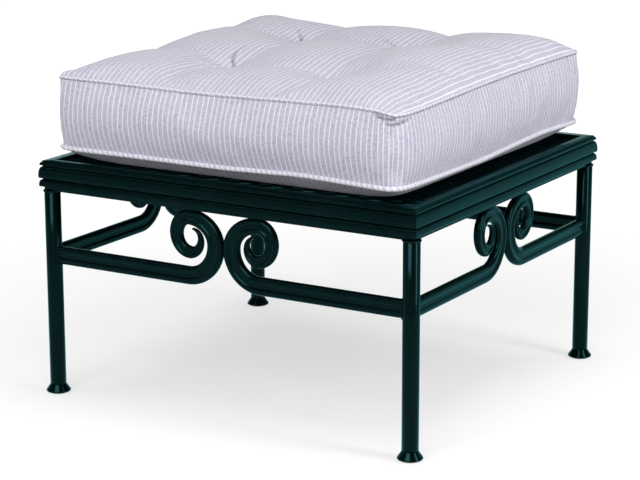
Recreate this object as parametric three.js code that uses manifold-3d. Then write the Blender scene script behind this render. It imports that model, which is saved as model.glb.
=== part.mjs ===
// Outdoor ottoman: a welded tube and scroll frame with an expanded metal deck and a loose tufted cushion.
// Millimetres, +Z up. The origin lies on the floor under the middle of the frame, with X along the
// wider side and Y towards the back. The front is the side at -Y.

import * as THREE from "three";
import { mergeVertices } from "three/addons/utils/BufferGeometryUtils.js";
import Module from "manifold-3d";

const wasm = await Module();
wasm.setup();

// Clearances
const seatGap = 0.3; // between pieces that touch or are welded
const runGap = 0.35; // round the zip's slider
const cutOverrun = 2; // how far a cutting solid runs past what it cuts
const mergeReach = 0.0003; // points closer than this are one point

// Frame layout
const legSpacingX = 582; // between leg axes, left to right
const legSpacingY = 542; // between leg axes, front to back

// Rails: hollow extrusions with three ribs on the outer face, mitred at the corners
const railBottomZ = 300.6;
const railWidth = 19;
const railOverhang = 13.9; // outermost rib beyond the leg axis
const railWall = 2.2;
const lipHeight = 5.8;
const lipInset = 6;
const lowerRibHeight = 13.4;
const lowerRibInset = 0.5;
const middleRibHeight = 15;
const topRibHeight = 7;
const topRibInset = 1.5;
const grooveWidth = 1.1;
const grooveDepth = 2.5;
const ribRound = 1.4;
const crownRound = 2.4;

// Legs: round tubes
const legRadius = 11.65;
const legWall = 2;
const legEndZ = 13;

// Feet: flared ferrules with a spigot inside the leg
const flareRadius = 17.7;
const flareWaistShare = 0.45; // how much of the flare has opened half way down
const footBottomZ = 1.4;
const footEdgeHeight = 2.6;
const footEdgeRound = 1.2;
const spigotHeight = 22;

// Glides: nylon buttons pressed up into the feet
const glideRadius = 14;
const glideRound = 0.8;
const glideStemRadius = 4;
const glideStemHeight = 11;

// Stretchers: double-reeded bars that roll up into a scroll under the rail
const barHeight = 25.4;
const barThickness = 12.7;
const barMidZ = 206.3;
const bendRun = 45.2; // from the straight bar to the outermost point of the bend
const bendRise = 46.2;
const overRun = 42.7; // from the bend over to the top of the scroll
const faceRun = 21.7; // from the top down the far side of the scroll
const faceDrop = 24.4;
const heelRun = 22.9; // round the bottom of the scroll
const heelDrop = 25.6;
const eyeRun = 17; // up the inner turn
const eyeRise = 18.6;
const tipRun = 13.5; // over to the thin tip
const tipRise = 15;

// Deck: raised expanded metal on ledge bars, with two braces under it
const deckDrop = 3; // deck below the top of the rails
const deckThickness = 5;
const deckBorder = 9;
const meshPitchX = 102; // nearest pitch, fitted to whole openings
const meshPitchY = 46;
const strandWidth = 7;
const ledgeWidth = 10;
const ledgeThickness = 4;
const braceHeight = 16;
const braceThickness = 6;
const braceSpacing = 190;

// Cushion: top and bottom panels, boxing, welts, foam core, zip and tuft ties
const cushionInsetX = 16.5; // cushion's edge inside the leg axes
const cushionInsetY = 2.5;
const seamRise = 21; // bottom welt above the deck
const boxingHeight = 103; // between the welts
const boxingBulge = 5;
const sideBulge = 9; // more half way along each side but the zipped back
const boxingInset = 1;
const sideDrawIn = 7; // how far the sides pull in between the corners
const cornerCut = 3.4;
const panelThickness = 2.4;
const weltRadius = 3.4;
const tuftCrownHeight = 4; // above the seam
const ridgeCrownHeight = 11;
const pillowCrownHeight = 8;
const underCurveInset = 30;
const coreInset = 8;
const coreStep = 5; // core's side above the bottom seam
const tieRadius = 1.2;

// Zip in the back boxing
const zipEndInset = 60; // from the cushion's corner to the end of the opening
const zipOpening = 7;
const tapeHeight = 24;
const tapeThickness = 1.2;
const tapeMargin = 8;
const sliderLength = 10;
const pullThickness = 1.3;
const pullLength = 22;
const pullWidth = 5;

// Counts
const tubeSides = 20;
const weltSides = 6;
const tieSides = 8;
const boxingRows = 3;

// Curves of the cushion's top, without units
const edgeFullness = 9; // how flat the crown stays before it falls to the seam
const edgeRoundness = 0.6;
const puffRoundness = 0.6; // how round each pillow is
const cornerSharpness = 40;

// Places derived from the sizes above
const railTopZ = railBottomZ + lipHeight + lowerRibHeight + middleRibHeight + topRibHeight + 2 * grooveWidth;
const deckTopZ = railTopZ - deckDrop;
const legX = legSpacingX / 2;
const legY = legSpacingY / 2;
const innerX = legX + railOverhang - railWidth;
const innerY = legY + railOverhang - railWidth;
const cushionSizeX = legSpacingX - 2 * cushionInsetX;
const cushionSizeY = legSpacingY - 2 * cushionInsetY;
const zipLength = cushionSizeX - 2 * zipEndInset;
const bottomSeamZ = deckTopZ + seamRise;
const topSeamZ = bottomSeamZ + boxingHeight;
const scrollMidZ = barMidZ + bendRise;

// Finishes
const paint = { color: 0x0b1f1f, roughness: 0.32, metalness: 0.35 };
const nylon = { color: 0x1a1a1a, roughness: 0.6, metalness: 0 };
const ticking = { color: 0xcdc8d7, roughness: 0.9, metalness: 0 };
const foam = { color: 0xe8e2cf, roughness: 0.95, metalness: 0 };
const twine = { color: 0xd9d5e2, roughness: 0.85, metalness: 0 };
const zipMetal = { color: 0x9a9aa0, roughness: 0.35, metalness: 0.9 };

const ottoman = new THREE.Group();

function piece(name, geometry, finish, parent = ottoman) {
  const mesh = new THREE.Mesh(geometry, new THREE.MeshStandardMaterial(finish));
  mesh.name = name;
  parent.add(mesh);
  return mesh;
}

// Keeps only positions, merges shared corners and turns the faces outwards
function closed(geometry) {
  const bare = new THREE.BufferGeometry();
  bare.setAttribute("position", geometry.getAttribute("position").clone());
  if (geometry.index) {
    bare.setIndex(geometry.index.clone());
  }
  const merged = mergeVertices(bare, mergeReach);
  const point = merged.getAttribute("position");
  const corner = Array.from(merged.index.array);
  const kept = [];
  let volume = 0;
  const [a, b, c] = [new THREE.Vector3(), new THREE.Vector3(), new THREE.Vector3()];
  for (let i = 0; i < corner.length; i += 3) {
    const [p, q, r] = corner.slice(i, i + 3);
    if (p !== q && q !== r && r !== p) {
      kept.push(p, q, r);
      a.fromBufferAttribute(point, p);
      b.fromBufferAttribute(point, q);
      c.fromBufferAttribute(point, r);
      volume += a.dot(b.cross(c));
    }
  }
  merged.setIndex(volume < 0 ? kept.reverse() : kept);
  return merged;
}

function toSolid(geometry) {
  const clean = closed(geometry);
  return new wasm.Manifold(new wasm.Mesh({
    numProp: 3,
    vertProperties: new Float32Array(clean.getAttribute("position").array),
    triVerts: new Uint32Array(clean.index.array),
  }));
}

function fromSolid(solid) {
  const mesh = solid.getMesh();
  const geometry = new THREE.BufferGeometry();
  geometry.setAttribute("position", new THREE.BufferAttribute(mesh.vertProperties, mesh.numProp));
  geometry.setIndex(Array.from(mesh.triVerts));
  return geometry;
}

function cut(body, ...tools) {
  return fromSolid(tools.reduce((solid, tool) => solid.subtract(toSolid(tool)), toSolid(body)));
}

// A closed skin over rings of points: round a loop, or capped at the middle of its two end rings
function skin(rings, loop = false) {
  const size = rings[0].length;
  const points = rings.flat();
  const corner = [];
  const spans = loop ? rings.length : rings.length - 1;
  for (let i = 0; i < spans; i += 1) {
    const here = i * size;
    const next = ((i + 1) % rings.length) * size;
    for (let j = 0; j < size; j += 1) {
      const k = (j + 1) % size;
      corner.push(here + j, here + k, next + k, here + j, next + k, next + j);
    }
  }
  if (!loop) {
    for (const start of [0, (rings.length - 1) * size]) {
      const ring = points.slice(start, start + size);
      const middle = ring.reduce((sum, p) => sum.add(p), new THREE.Vector3()).divideScalar(size);
      points.push(middle);
      for (let j = 0; j < size; j += 1) {
        const k = (j + 1) % size;
        const pair = start === 0 ? [start + k, start + j] : [start + j, start + k];
        corner.push(...pair, points.length - 1);
      }
    }
  }
  return closed(new THREE.BufferGeometry().setFromPoints(points).setIndex(corner));
}

// A turned piece from radius and height pairs, standing on Z
function turned(profile, sides = tubeSides) {
  const points = profile.map(([radius, height]) => new THREE.Vector2(radius, height));
  return closed(new THREE.LatheGeometry(points, sides).rotateX(Math.PI / 2));
}

function block(lowX, highX, lowY, highY, lowZ, highZ) {
  const box = new THREE.BoxGeometry(highX - lowX, highY - lowY, highZ - lowZ);
  return closed(box.translate((lowX + highX) / 2, (lowY + highY) / 2, (lowZ + highZ) / 2));
}

// The four sides of the frame: half the leg spacing along and across each side, and its turn
const sides = [
  { name: "front", along: legX, across: legY, turn: 0 },
  { name: "right", along: legY, across: legX, turn: Math.PI / 2 },
  { name: "back", along: legX, across: legY, turn: Math.PI },
  { name: "left", along: legY, across: legX, turn: -Math.PI / 2 },
];

const corners = [
  { name: "front_left", x: -legX, y: -legY },
  { name: "front_right", x: legX, y: -legY },
  { name: "back_right", x: legX, y: legY },
  { name: "back_left", x: -legX, y: legY },
];

// Rails

// Outer face of the rail from the lip up, as distance out from the leg axis and height
function railFace() {
  const outline = [];
  let height = railBottomZ;
  const lipFace = railOverhang - lipInset;
  outline.push([lipFace, height], [lipFace + ribRound, height + lipHeight]);
  height += lipHeight;
  const ribs = [[lowerRibHeight, lowerRibInset], [middleRibHeight, 0]];
  for (const [ribHeight, inset] of ribs) {
    const face = railOverhang - inset;
    outline.push([face - ribRound, height], [face, height + ribRound]);
    outline.push([face, height + ribHeight - ribRound], [face - ribRound, height + ribHeight]);
    height += ribHeight;
    outline.push([railOverhang - grooveDepth, height + grooveWidth / 2]);
    height += grooveWidth;
  }
  const topFace = railOverhang - topRibInset;
  outline.push([topFace, height + ribRound], [topFace, railTopZ - crownRound]);
  outline.push([topFace - crownRound, railTopZ]);
  return outline;
}

function rail(along, across) {
  const innerFace = railOverhang - railWidth;
  const outline = [
    [innerFace, railBottomZ],
    ...railFace(),
    [innerFace + ribRound, railTopZ],
    [innerFace, railTopZ - ribRound],
  ];
  const bore = [
    [innerFace + railWall, railBottomZ + railWall],
    [innerFace + railWall, railTopZ - railWall],
    [railOverhang - grooveDepth - railWall, railTopZ - railWall],
    [railOverhang - grooveDepth - railWall, railBottomZ + lipHeight + railWall],
    [railOverhang - lipInset - railWall, railBottomZ + railWall],
  ];
  const shape = new THREE.Shape(outline.map(([out, height]) => new THREE.Vector2(out, height)));
  shape.holes.push(new THREE.Path(bore.map(([out, height]) => new THREE.Vector2(out, height))));
  const bar = new THREE.ExtrudeGeometry(shape, { depth: along, bevelEnabled: false });
  const point = bar.getAttribute("position");
  for (let i = 0; i < point.count; i += 1) {
    const out = point.getX(i);
    const end = point.getZ(i) > 0 ? 1 : -1;
    // Each end is mitred: it runs as far past the leg axis as the point lies outside it
    point.setXYZ(i, end * (along + out - seatGap / 2), -(across + out), point.getY(i));
  }
  return closed(bar);
}

// Scroll stretchers

// A quarter of an ellipse that starts along one axis and ends along the other
function quarter(centre, from, to, steps) {
  const points = [];
  for (let i = 1; i <= steps; i += 1) {
    const angle = (Math.PI / 2) * (i / steps);
    const place = centre.clone();
    place.addScaledVector(from, Math.cos(angle)).addScaledVector(to, Math.sin(angle));
    points.push(place);
  }
  return points;
}

// Section of the bar as shares of its height and thickness: two reeds with a groove between them
const reedShares = [
  [0.5, 0.2], [0.29, 0.5], [0, 0.36], [-0.29, 0.5], [-0.5, 0.2],
  [-0.5, -0.2], [-0.29, -0.5], [0, -0.36], [0.29, -0.5], [0.5, -0.2],
];
// Height and thickness left at the start of the bend and after each quarter turn
const heightShares = [1, 1, 0.85, 0.79, 0.69, 0.34, 0.1];
const thicknessShares = [1, 1, 0.95, 0.88, 0.78, 0.55, 0.3];
const quarterSteps = [5, 4, 4, 4, 4, 3];

// Middle line of one bar in its side's plane, with its height and thickness at each point
function scrollLine(along) {
  const bendX = -(barHeight + seatGap) / 2;
  const topZ = railBottomZ - seatGap - (barHeight * heightShares[2]) / 2;
  const overX = bendX - overRun;
  const faceX = overX - faceRun;
  const faceZ = topZ - faceDrop;
  const heelX = faceX + heelRun;
  const heelZ = faceZ - heelDrop;
  const eyeX = heelX + eyeRun;
  const eyeZ = heelZ + eyeRise;
  const start = new THREE.Vector2(bendX - bendRun, barMidZ);
  const vector = (x, z) => new THREE.Vector2(x, z);
  const turns = [
    [vector(start.x, scrollMidZ), vector(0, -bendRise), vector(bendRun, 0)],
    [vector(overX, scrollMidZ), vector(overRun, 0), vector(0, topZ - scrollMidZ)],
    [vector(overX, faceZ), vector(0, faceDrop), vector(-faceRun, 0)],
    [vector(heelX, faceZ), vector(-heelRun, 0), vector(0, -heelDrop)],
    [vector(heelX, eyeZ), vector(0, -eyeRise), vector(eyeRun, 0)],
    [vector(eyeX - tipRun, eyeZ), vector(tipRun, 0), vector(0, tipRise)],
  ];
  const line = [
    { place: vector(-along, barMidZ), height: barHeight, thickness: barThickness },
    { place: start, height: barHeight, thickness: barThickness },
  ];
  turns.forEach(([centre, from, to], turn) => {
    const places = quarter(centre, from, to, quarterSteps[turn]);
    places.forEach((place, i) => {
      const share = (i + 1) / places.length;
      line.push({
        place,
        height: barHeight * THREE.MathUtils.lerp(heightShares[turn], heightShares[turn + 1], share),
        thickness: barThickness
          * THREE.MathUtils.lerp(thicknessShares[turn], thicknessShares[turn + 1], share),
      });
    });
  });
  return line;
}

// One bar from the leg on its left to the middle of its side
function scrollBar(along, across) {
  const line = scrollLine(along);
  const rings = line.map(({ place, height, thickness }, i) => {
    const before = line[Math.max(i - 1, 0)].place;
    const after = line[Math.min(i + 1, line.length - 1)].place;
    const run = after.clone().sub(before).normalize();
    return reedShares.map(([up, out]) => new THREE.Vector3(
      place.x - run.y * up * height,
      -across + out * thickness,
      place.y + run.x * up * height,
    ));
  });
  const legCut = new THREE.CylinderGeometry(
    legRadius + seatGap, legRadius + seatGap, barHeight + 2 * cutOverrun, tubeSides,
  );
  legCut.rotateX(Math.PI / 2).translate(-along, -across, barMidZ);
  return cut(skin(rings), legCut);
}

for (const side of sides) {
  const group = new THREE.Group();
  group.rotation.z = side.turn;
  ottoman.add(group);
  piece(`rail_${side.name}`, rail(side.along, side.across), paint, group);
  const bar = scrollBar(side.along, side.across);
  piece(`scroll_${side.name}_a`, bar, paint, group);
  const mirrored = bar.clone().scale(-1, 1, 1);
  piece(`scroll_${side.name}_b`, closed(mirrored), paint, group);
}

// Legs, feet and glides

const legTube = turned([
  [legRadius - legWall, legEndZ],
  [legRadius, legEndZ],
  [legRadius, railBottomZ - seatGap],
  [legRadius - legWall, railBottomZ - seatGap],
  [legRadius - legWall, legEndZ],
]);

const spigotRadius = legRadius - legWall - seatGap;
const stemBore = glideStemRadius + seatGap;
const shoulderZ = legEndZ - seatGap;
const flareZ = footBottomZ + footEdgeHeight;
const foot = turned([
  [0, legEndZ + spigotHeight],
  [spigotRadius, legEndZ + spigotHeight],
  [spigotRadius, shoulderZ],
  [legRadius, shoulderZ],
  [THREE.MathUtils.lerp(legRadius, flareRadius, flareWaistShare), (shoulderZ + flareZ) / 2],
  [flareRadius, flareZ],
  [flareRadius, footBottomZ + footEdgeRound],
  [flareRadius - footEdgeRound, footBottomZ],
  [stemBore, footBottomZ],
  [stemBore, footBottomZ + glideStemHeight + seatGap],
  [0, footBottomZ + glideStemHeight + seatGap],
]);

const glideTop = footBottomZ - seatGap;
const glide = turned([
  [0, 0],
  [glideRadius - glideRound, 0],
  [glideRadius, glideRound],
  [glideRadius, glideTop],
  [glideStemRadius, glideTop],
  [glideStemRadius, footBottomZ + glideStemHeight],
  [0, footBottomZ + glideStemHeight],
]);

for (const corner of corners) {
  const group = new THREE.Group();
  group.position.set(corner.x, corner.y, 0);
  ottoman.add(group);
  piece(`leg_${corner.name}`, legTube.clone(), paint, group);
  piece(`foot_${corner.name}`, foot.clone(), paint, group);
  piece(`glide_${corner.name}`, glide.clone(), nylon, group);
}

// Deck: a sheet with rows of pointed openings, half a pitch out of step from row to row

function deckSheet() {
  const halfX = innerX - seatGap;
  const halfY = innerY - seatGap;
  const netX = halfX - deckBorder;
  const netY = halfY - deckBorder;
  const meshColumns = Math.round((2 * netX) / meshPitchX);
  const meshRows = Math.round((2 * netY) / meshPitchY);
  const pitchX = (2 * netX) / meshColumns;
  const pitchY = (2 * netY) / meshRows;
  const gapY = pitchY / 2 - strandWidth / 2;
  const gapX = (gapY * pitchX) / pitchY;
  const sheet = new THREE.Shape([
    new THREE.Vector2(-halfX, -halfY), new THREE.Vector2(halfX, -halfY),
    new THREE.Vector2(halfX, halfY), new THREE.Vector2(-halfX, halfY),
  ]);
  const rows = 2 * meshRows - 1;
  for (let row = 0; row < rows; row += 1) {
    const columns = meshColumns - (row % 2);
    const middleY = -netY + ((row + 1) * pitchY) / 2;
    for (let column = 0; column < columns; column += 1) {
      const middleX = (column - (columns - 1) / 2) * pitchX;
      sheet.holes.push(new THREE.Path([
        new THREE.Vector2(middleX - gapX, middleY), new THREE.Vector2(middleX, middleY + gapY),
        new THREE.Vector2(middleX + gapX, middleY), new THREE.Vector2(middleX, middleY - gapY),
      ]));
    }
  }
  const plate = new THREE.ExtrudeGeometry(sheet, { depth: deckThickness, bevelEnabled: false });
  return closed(plate.translate(0, 0, deckTopZ - deckThickness));
}

piece("deck_mesh", deckSheet(), paint);

const ledgeTopZ = deckTopZ - deckThickness - seatGap;
const ledgeOutX = innerX - seatGap;
const ledgeOutY = innerY - seatGap;
const ledgeInX = ledgeOutX - ledgeWidth;
const ledgeInY = ledgeOutY - ledgeWidth;
const ledgeLowZ = ledgeTopZ - ledgeThickness;
const ledgeEndY = ledgeInY - seatGap;
piece("ledge_front", block(-ledgeOutX, ledgeOutX, -ledgeOutY, -ledgeInY, ledgeLowZ, ledgeTopZ), paint);
piece("ledge_back", block(-ledgeOutX, ledgeOutX, ledgeInY, ledgeOutY, ledgeLowZ, ledgeTopZ), paint);
piece("ledge_left", block(-ledgeOutX, -ledgeInX, -ledgeEndY, ledgeEndY, ledgeLowZ, ledgeTopZ), paint);
piece("ledge_right", block(ledgeInX, ledgeOutX, -ledgeEndY, ledgeEndY, ledgeLowZ, ledgeTopZ), paint);

const braceX = braceSpacing / 2;
for (const [name, x] of [["brace_left", -braceX], ["brace_right", braceX]]) {
  const lowX = x - braceThickness / 2;
  const brace = block(lowX, lowX + braceThickness, -ledgeEndY, ledgeEndY, ledgeTopZ - braceHeight, ledgeTopZ);
  piece(name, brace, paint);
}

// Cushion

// Grid lines of the top as shares of half the cushion, with the tufts on one of them
const tuftShare = 1 / 3;
const lineShares = [0.13, 0.24, tuftShare, 0.43, 0.56, 0.7, 0.85, 0.92, 0.97, 1];
const edgeShares = [tuftShare, 0.85, 0.97, 1];
const bothWays = (shares) => [...shares.map((share) => -share).reverse(), 0, ...shares];
const gridLines = bothWays(lineShares);
const edgeLines = bothWays(edgeShares);

// Place in the plan from shares of the half sizes, with the sides drawn in and the corners rounded.
// The zipped back side stays straight.
function plan(u, v, inset) {
  const halfX = cushionSizeX / 2 - sideDrawIn * (1 - v * v) - inset;
  const drawInY = v < 0 ? sideDrawIn : 0;
  const halfY = cushionSizeY / 2 - drawInY * (1 - u * u) - inset;
  const corner = cornerCut * Math.abs(u * v) ** cornerSharpness;
  return new THREE.Vector2(u * halfX - Math.sign(u) * corner, v * halfY - Math.sign(v) * corner);
}

// Crown of the top above the seam: three pillows each way, valleys between them, tufts where they cross.
// The outer pillows stay full until the edge rounds down to the seam.
function crown(u, v) {
  const edge = (share) => (1 - Math.abs(share) ** edgeFullness) ** edgeRoundness;
  const inner = (share) => Math.min(Math.abs(share), 2 * tuftShare);
  const puff = (share) => Math.abs(Math.cos((Math.PI * inner(share)) / (2 * tuftShare))) ** puffRoundness;
  const [puffU, puffV] = [puff(u), puff(v)];
  const height = tuftCrownHeight + ridgeCrownHeight * (puffU + puffV) + pillowCrownHeight * puffU * puffV;
  return height * edge(u) * edge(v);
}

// Pairs of grid values once round the edge, anticlockwise from the front left corner
function aroundEdge(lines) {
  const [low, high] = [lines[0], lines[lines.length - 1]];
  const out = lines.slice(0, -1);
  const back = lines.slice(1).reverse();
  return [
    ...out.map((u) => [u, low]), ...out.map((v) => [high, v]),
    ...back.map((u) => [u, high]), ...back.map((v) => [low, v]),
  ];
}

function edgeRing(lines, inset, height) {
  return aroundEdge(lines).map(([u, v]) => {
    const place = plan(u, v, inset);
    return new THREE.Vector3(place.x, place.y, height);
  });
}

const panelInset = weltRadius + seatGap;
const panelEdgeZ = topSeamZ + panelThickness / 2;
const underZ = deckTopZ + seatGap; // lowest face of the cushion
const coreLowZ = underZ + panelThickness + seatGap;

// One layer of the top's grid, below the top surface by drop, with its outer points at their own inset
function topLayer(drop, edgeInset) {
  return gridLines.flatMap((u) => gridLines.map((v) => {
    const atEdge = Math.abs(u) === 1 || Math.abs(v) === 1;
    const place = plan(u, v, atEdge ? edgeInset : panelInset);
    return new THREE.Vector3(place.x, place.y, panelEdgeZ + crown(u, v) - drop);
  }));
}

const gridCount = gridLines.length;
const gridEdge = aroundEdge([...gridLines.keys()]).map(([i, j]) => i * gridCount + j);
const gridFaces = [];
for (let i = 0; i < gridCount - 1; i += 1) {
  for (let j = 0; j < gridCount - 1; j += 1) {
    const at = i * gridCount + j;
    gridFaces.push([at, at + gridCount, at + gridCount + 1], [at, at + gridCount + 1, at + 1]);
  }
}

// Wall between two loops of point numbers, the second loop below the first
function wallFaces(upper, lower) {
  return upper.flatMap((high, i) => {
    const k = (i + 1) % upper.length;
    return [[lower[i], lower[k], upper[k]], [lower[i], upper[k], high]];
  });
}

const geometryOf = (points, faces) => closed(
  new THREE.BufferGeometry().setFromPoints(points).setIndex(faces.flat()),
);

function topPanel() {
  const upper = topLayer(0, panelInset);
  const lower = topLayer(panelThickness, panelInset);
  const below = (number) => number + upper.length;
  const faces = [
    ...gridFaces,
    ...gridFaces.map(([a, b, c]) => [below(a), below(c), below(b)]),
    ...wallFaces(gridEdge, gridEdge.map(below)),
  ];
  return geometryOf([...upper, ...lower], faces);
}

function tieAt(u, v, radius, lowZ, highZ) {
  const place = plan(u, v, panelInset);
  const rod = new THREE.CylinderGeometry(radius, radius, highZ - lowZ, tieSides);
  return rod.rotateX(Math.PI / 2).translate(place.x, place.y, (lowZ + highZ) / 2);
}

const tufts = [
  ["front_left", -tuftShare, -tuftShare], ["front_right", tuftShare, -tuftShare],
  ["back_right", tuftShare, tuftShare], ["back_left", -tuftShare, tuftShare],
];
const tieTopZ = panelEdgeZ + crown(tuftShare, tuftShare) - panelThickness - seatGap;

// The foam fills the cover: it follows the top panel and is chamfered to the flat of the bottom panel
function foamCore() {
  const points = topLayer(panelThickness + seatGap, coreInset);
  const side = edgeRing(gridLines, coreInset, bottomSeamZ + coreStep);
  const foot = edgeRing(gridLines, underCurveInset + panelThickness, coreLowZ);
  const sideLoop = side.map((_, i) => points.length + i);
  const footLoop = foot.map((_, i) => points.length + side.length + i);
  points.push(...side, ...foot, new THREE.Vector3(0, 0, coreLowZ));
  const middle = points.length - 1;
  const faces = [
    ...gridFaces,
    ...wallFaces(gridEdge, sideLoop),
    ...wallFaces(sideLoop, footLoop),
    ...footLoop.map((number, i) => [middle, footLoop[(i + 1) % footLoop.length], number]),
  ];
  const holes = tufts.map(([, u, v]) => (
    tieAt(u, v, tieRadius + seatGap, coreLowZ - cutOverrun, tieTopZ + cutOverrun)
  ));
  return cut(geometryOf(points, faces), ...holes);
}

// Bottom panel: flat on the deck, then curving up to the bottom welt
function bottomPanel() {
  const curveShares = [0, 0.25, 0.6, 1];
  const curveRun = underCurveInset - panelInset;
  const edgeZ = bottomSeamZ - panelThickness / 2;
  const layer = (lift) => curveShares.map((share) => {
    const rise = 1 - Math.sqrt(1 - (1 - share) ** 2);
    const height = underZ + (edgeZ - underZ) * rise;
    return edgeRing(edgeLines, panelInset + curveRun * share, height + lift);
  });
  return skin([...layer(0).reverse(), ...layer(panelThickness)]);
}

// Boxing: the band between the welts, bulging a little half way up, with the zip's slit in its back
const boxingLowZ = bottomSeamZ + weltRadius + seatGap;
const boxingHighZ = topSeamZ - weltRadius - seatGap;
const boxingMidZ = (boxingLowZ + boxingHighZ) / 2;
const bandOutset = boxingBulge * Math.sin(Math.PI / boxingRows) - boxingInset;
const bandOutY = cushionSizeY / 2 + bandOutset;
const bandInY = bandOutY - panelThickness;

function boxing() {
  const shares = Array.from({ length: boxingRows + 1 }, (_, row) => row / boxingRows);
  const rings = aroundEdge(edgeLines).map(([u, v]) => {
    const bulge = boxingBulge + (v < 1 ? sideBulge * (1 - (u * v) ** 2) : 0);
    const face = (share, depth) => {
      const place = plan(u, v, boxingInset - bulge * Math.sin(Math.PI * share) + depth);
      const height = THREE.MathUtils.lerp(boxingLowZ, boxingHighZ, share);
      return new THREE.Vector3(place.x, place.y, height);
    };
    const outer = shares.map((share) => face(share, 0));
    const inner = shares.map((share) => face(share, panelThickness));
    return [...outer, ...inner.reverse()];
  });
  const slit = block(
    -zipLength / 2, zipLength / 2, bandInY - cutOverrun, bandOutY + cutOverrun,
    boxingMidZ - zipOpening / 2, boxingMidZ + zipOpening / 2,
  );
  return cut(skin(rings, true), slit);
}

// A welt cord all round the cushion at one height
function welt(height) {
  const centres = edgeRing(edgeLines, 0, height);
  const rings = centres.map((centre, i) => {
    const before = centres[(i + centres.length - 1) % centres.length];
    const after = centres[(i + 1) % centres.length];
    const run = after.clone().sub(before).normalize();
    const out = new THREE.Vector3(run.y, -run.x, 0);
    return Array.from({ length: weltSides }, (_, side) => {
      const angle = Math.PI / 2 + (2 * Math.PI * side) / weltSides;
      const place = centre.clone().addScaledVector(out, weltRadius * Math.cos(angle));
      place.z += weltRadius * Math.sin(angle);
      return place;
    });
  });
  return skin(rings, true);
}

piece("cushion_top_panel", topPanel(), ticking);
piece("cushion_bottom_panel", bottomPanel(), ticking);
piece("cushion_boxing", boxing(), ticking);
piece("cushion_welt_top", welt(topSeamZ), ticking);
piece("cushion_welt_bottom", welt(bottomSeamZ), ticking);
piece("cushion_core", foamCore(), foam);
for (const [name, u, v] of tufts) {
  piece(`tuft_tie_${name}`, closed(tieAt(u, v, tieRadius, coreLowZ, tieTopZ)), twine);
}

// Zip: a tape behind the slit, and a slider that stands closed at its right end

const tapeHalf = zipLength / 2 + tapeMargin;
const tapeOutY = bandInY - seatGap;
const tapeLowZ = boxingMidZ - tapeHeight / 2;
piece("zip_tape", block(
  -tapeHalf, tapeHalf, tapeOutY - tapeThickness, tapeOutY, tapeLowZ, tapeLowZ + tapeHeight,
), ticking);

function zipSlider() {
  const highX = zipLength / 2 - runGap;
  const midX = highX - sliderLength / 2;
  const proudY = bandOutY + runGap + pullThickness;
  const halfHeight = zipOpening / 2 - runGap;
  const body = block(
    highX - sliderLength, highX, tapeOutY + runGap, proudY,
    boxingMidZ - halfHeight, boxingMidZ + halfHeight,
  );
  const pull = block(
    midX - pullWidth / 2, midX + pullWidth / 2, bandOutY + runGap, proudY,
    boxingMidZ - pullLength, boxingMidZ,
  );
  return fromSolid(toSolid(body).add(toSolid(pull)));
}

piece("zip_slider", zipSlider(), zipMetal);

export default ottoman;
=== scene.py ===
import math
from contextlib import contextmanager

import bmesh
import bpy
import numpy as np
from mathutils import Matrix, Quaternion, Vector


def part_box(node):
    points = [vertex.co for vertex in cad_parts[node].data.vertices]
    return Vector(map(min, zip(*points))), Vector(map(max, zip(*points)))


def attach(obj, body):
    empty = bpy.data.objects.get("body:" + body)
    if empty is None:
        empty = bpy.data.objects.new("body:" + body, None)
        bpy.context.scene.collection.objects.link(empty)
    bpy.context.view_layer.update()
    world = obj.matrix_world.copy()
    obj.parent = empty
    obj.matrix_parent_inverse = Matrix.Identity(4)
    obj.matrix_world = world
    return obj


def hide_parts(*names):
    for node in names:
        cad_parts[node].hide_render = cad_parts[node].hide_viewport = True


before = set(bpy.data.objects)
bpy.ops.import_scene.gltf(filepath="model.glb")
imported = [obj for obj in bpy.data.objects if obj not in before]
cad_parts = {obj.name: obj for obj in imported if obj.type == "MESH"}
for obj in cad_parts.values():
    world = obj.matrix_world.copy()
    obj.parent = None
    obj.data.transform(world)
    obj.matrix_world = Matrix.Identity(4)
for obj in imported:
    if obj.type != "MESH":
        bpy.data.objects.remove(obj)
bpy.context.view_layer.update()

# Outdoor ottoman. Metres, +Z up, the front at -Y, the floor at zero.

MM = 0.001

# Places read from the frame
RAIL_LOW, RAIL_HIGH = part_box("rail_front")
LEG_LOW, LEG_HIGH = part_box("leg_front_right")
FOOT_LOW, FOOT_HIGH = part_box("foot_front_right")
BAR_LOW, BAR_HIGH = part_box("scroll_front_a")
DECK_LOW, DECK_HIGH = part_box("deck_mesh")
WELT_TOP_LOW, WELT_TOP_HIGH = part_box("cushion_welt_top")
WELT_LOW, WELT_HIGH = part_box("cushion_welt_bottom")
TAPE_LOW, TAPE_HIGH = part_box("zip_tape")
SLIDER_LOW, SLIDER_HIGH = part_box("zip_slider")

LEG_X = (LEG_LOW.x + LEG_HIGH.x) / 2
LEG_Y = (LEG_LOW.y + LEG_HIGH.y) / -2
LEG_RADIUS = (LEG_HIGH.x - LEG_LOW.x) / 2
RAIL_OVERHANG = -RAIL_LOW.y - LEG_Y
RAIL_WIDTH = RAIL_HIGH.y - RAIL_LOW.y
RAIL_BOTTOM = RAIL_LOW.z
RAIL_TOP = RAIL_HIGH.z
DECK_TOP = DECK_HIGH.z
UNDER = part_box("cushion_bottom_panel")[0].z

# Half the leg spacing along and across each side of the frame, and the side's turn
SIDES = {
    "front": (LEG_X, LEG_Y, 0.0),
    "right": (LEG_Y, LEG_X, math.pi / 2),
    "back": (LEG_X, LEG_Y, math.pi),
    "left": (LEG_Y, LEG_X, -math.pi / 2),
}
CORNERS = {
    "front_left": (-1, -1),
    "front_right": (1, -1),
    "back_right": (1, 1),
    "back_left": (-1, 1),
}

# Camera

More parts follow.
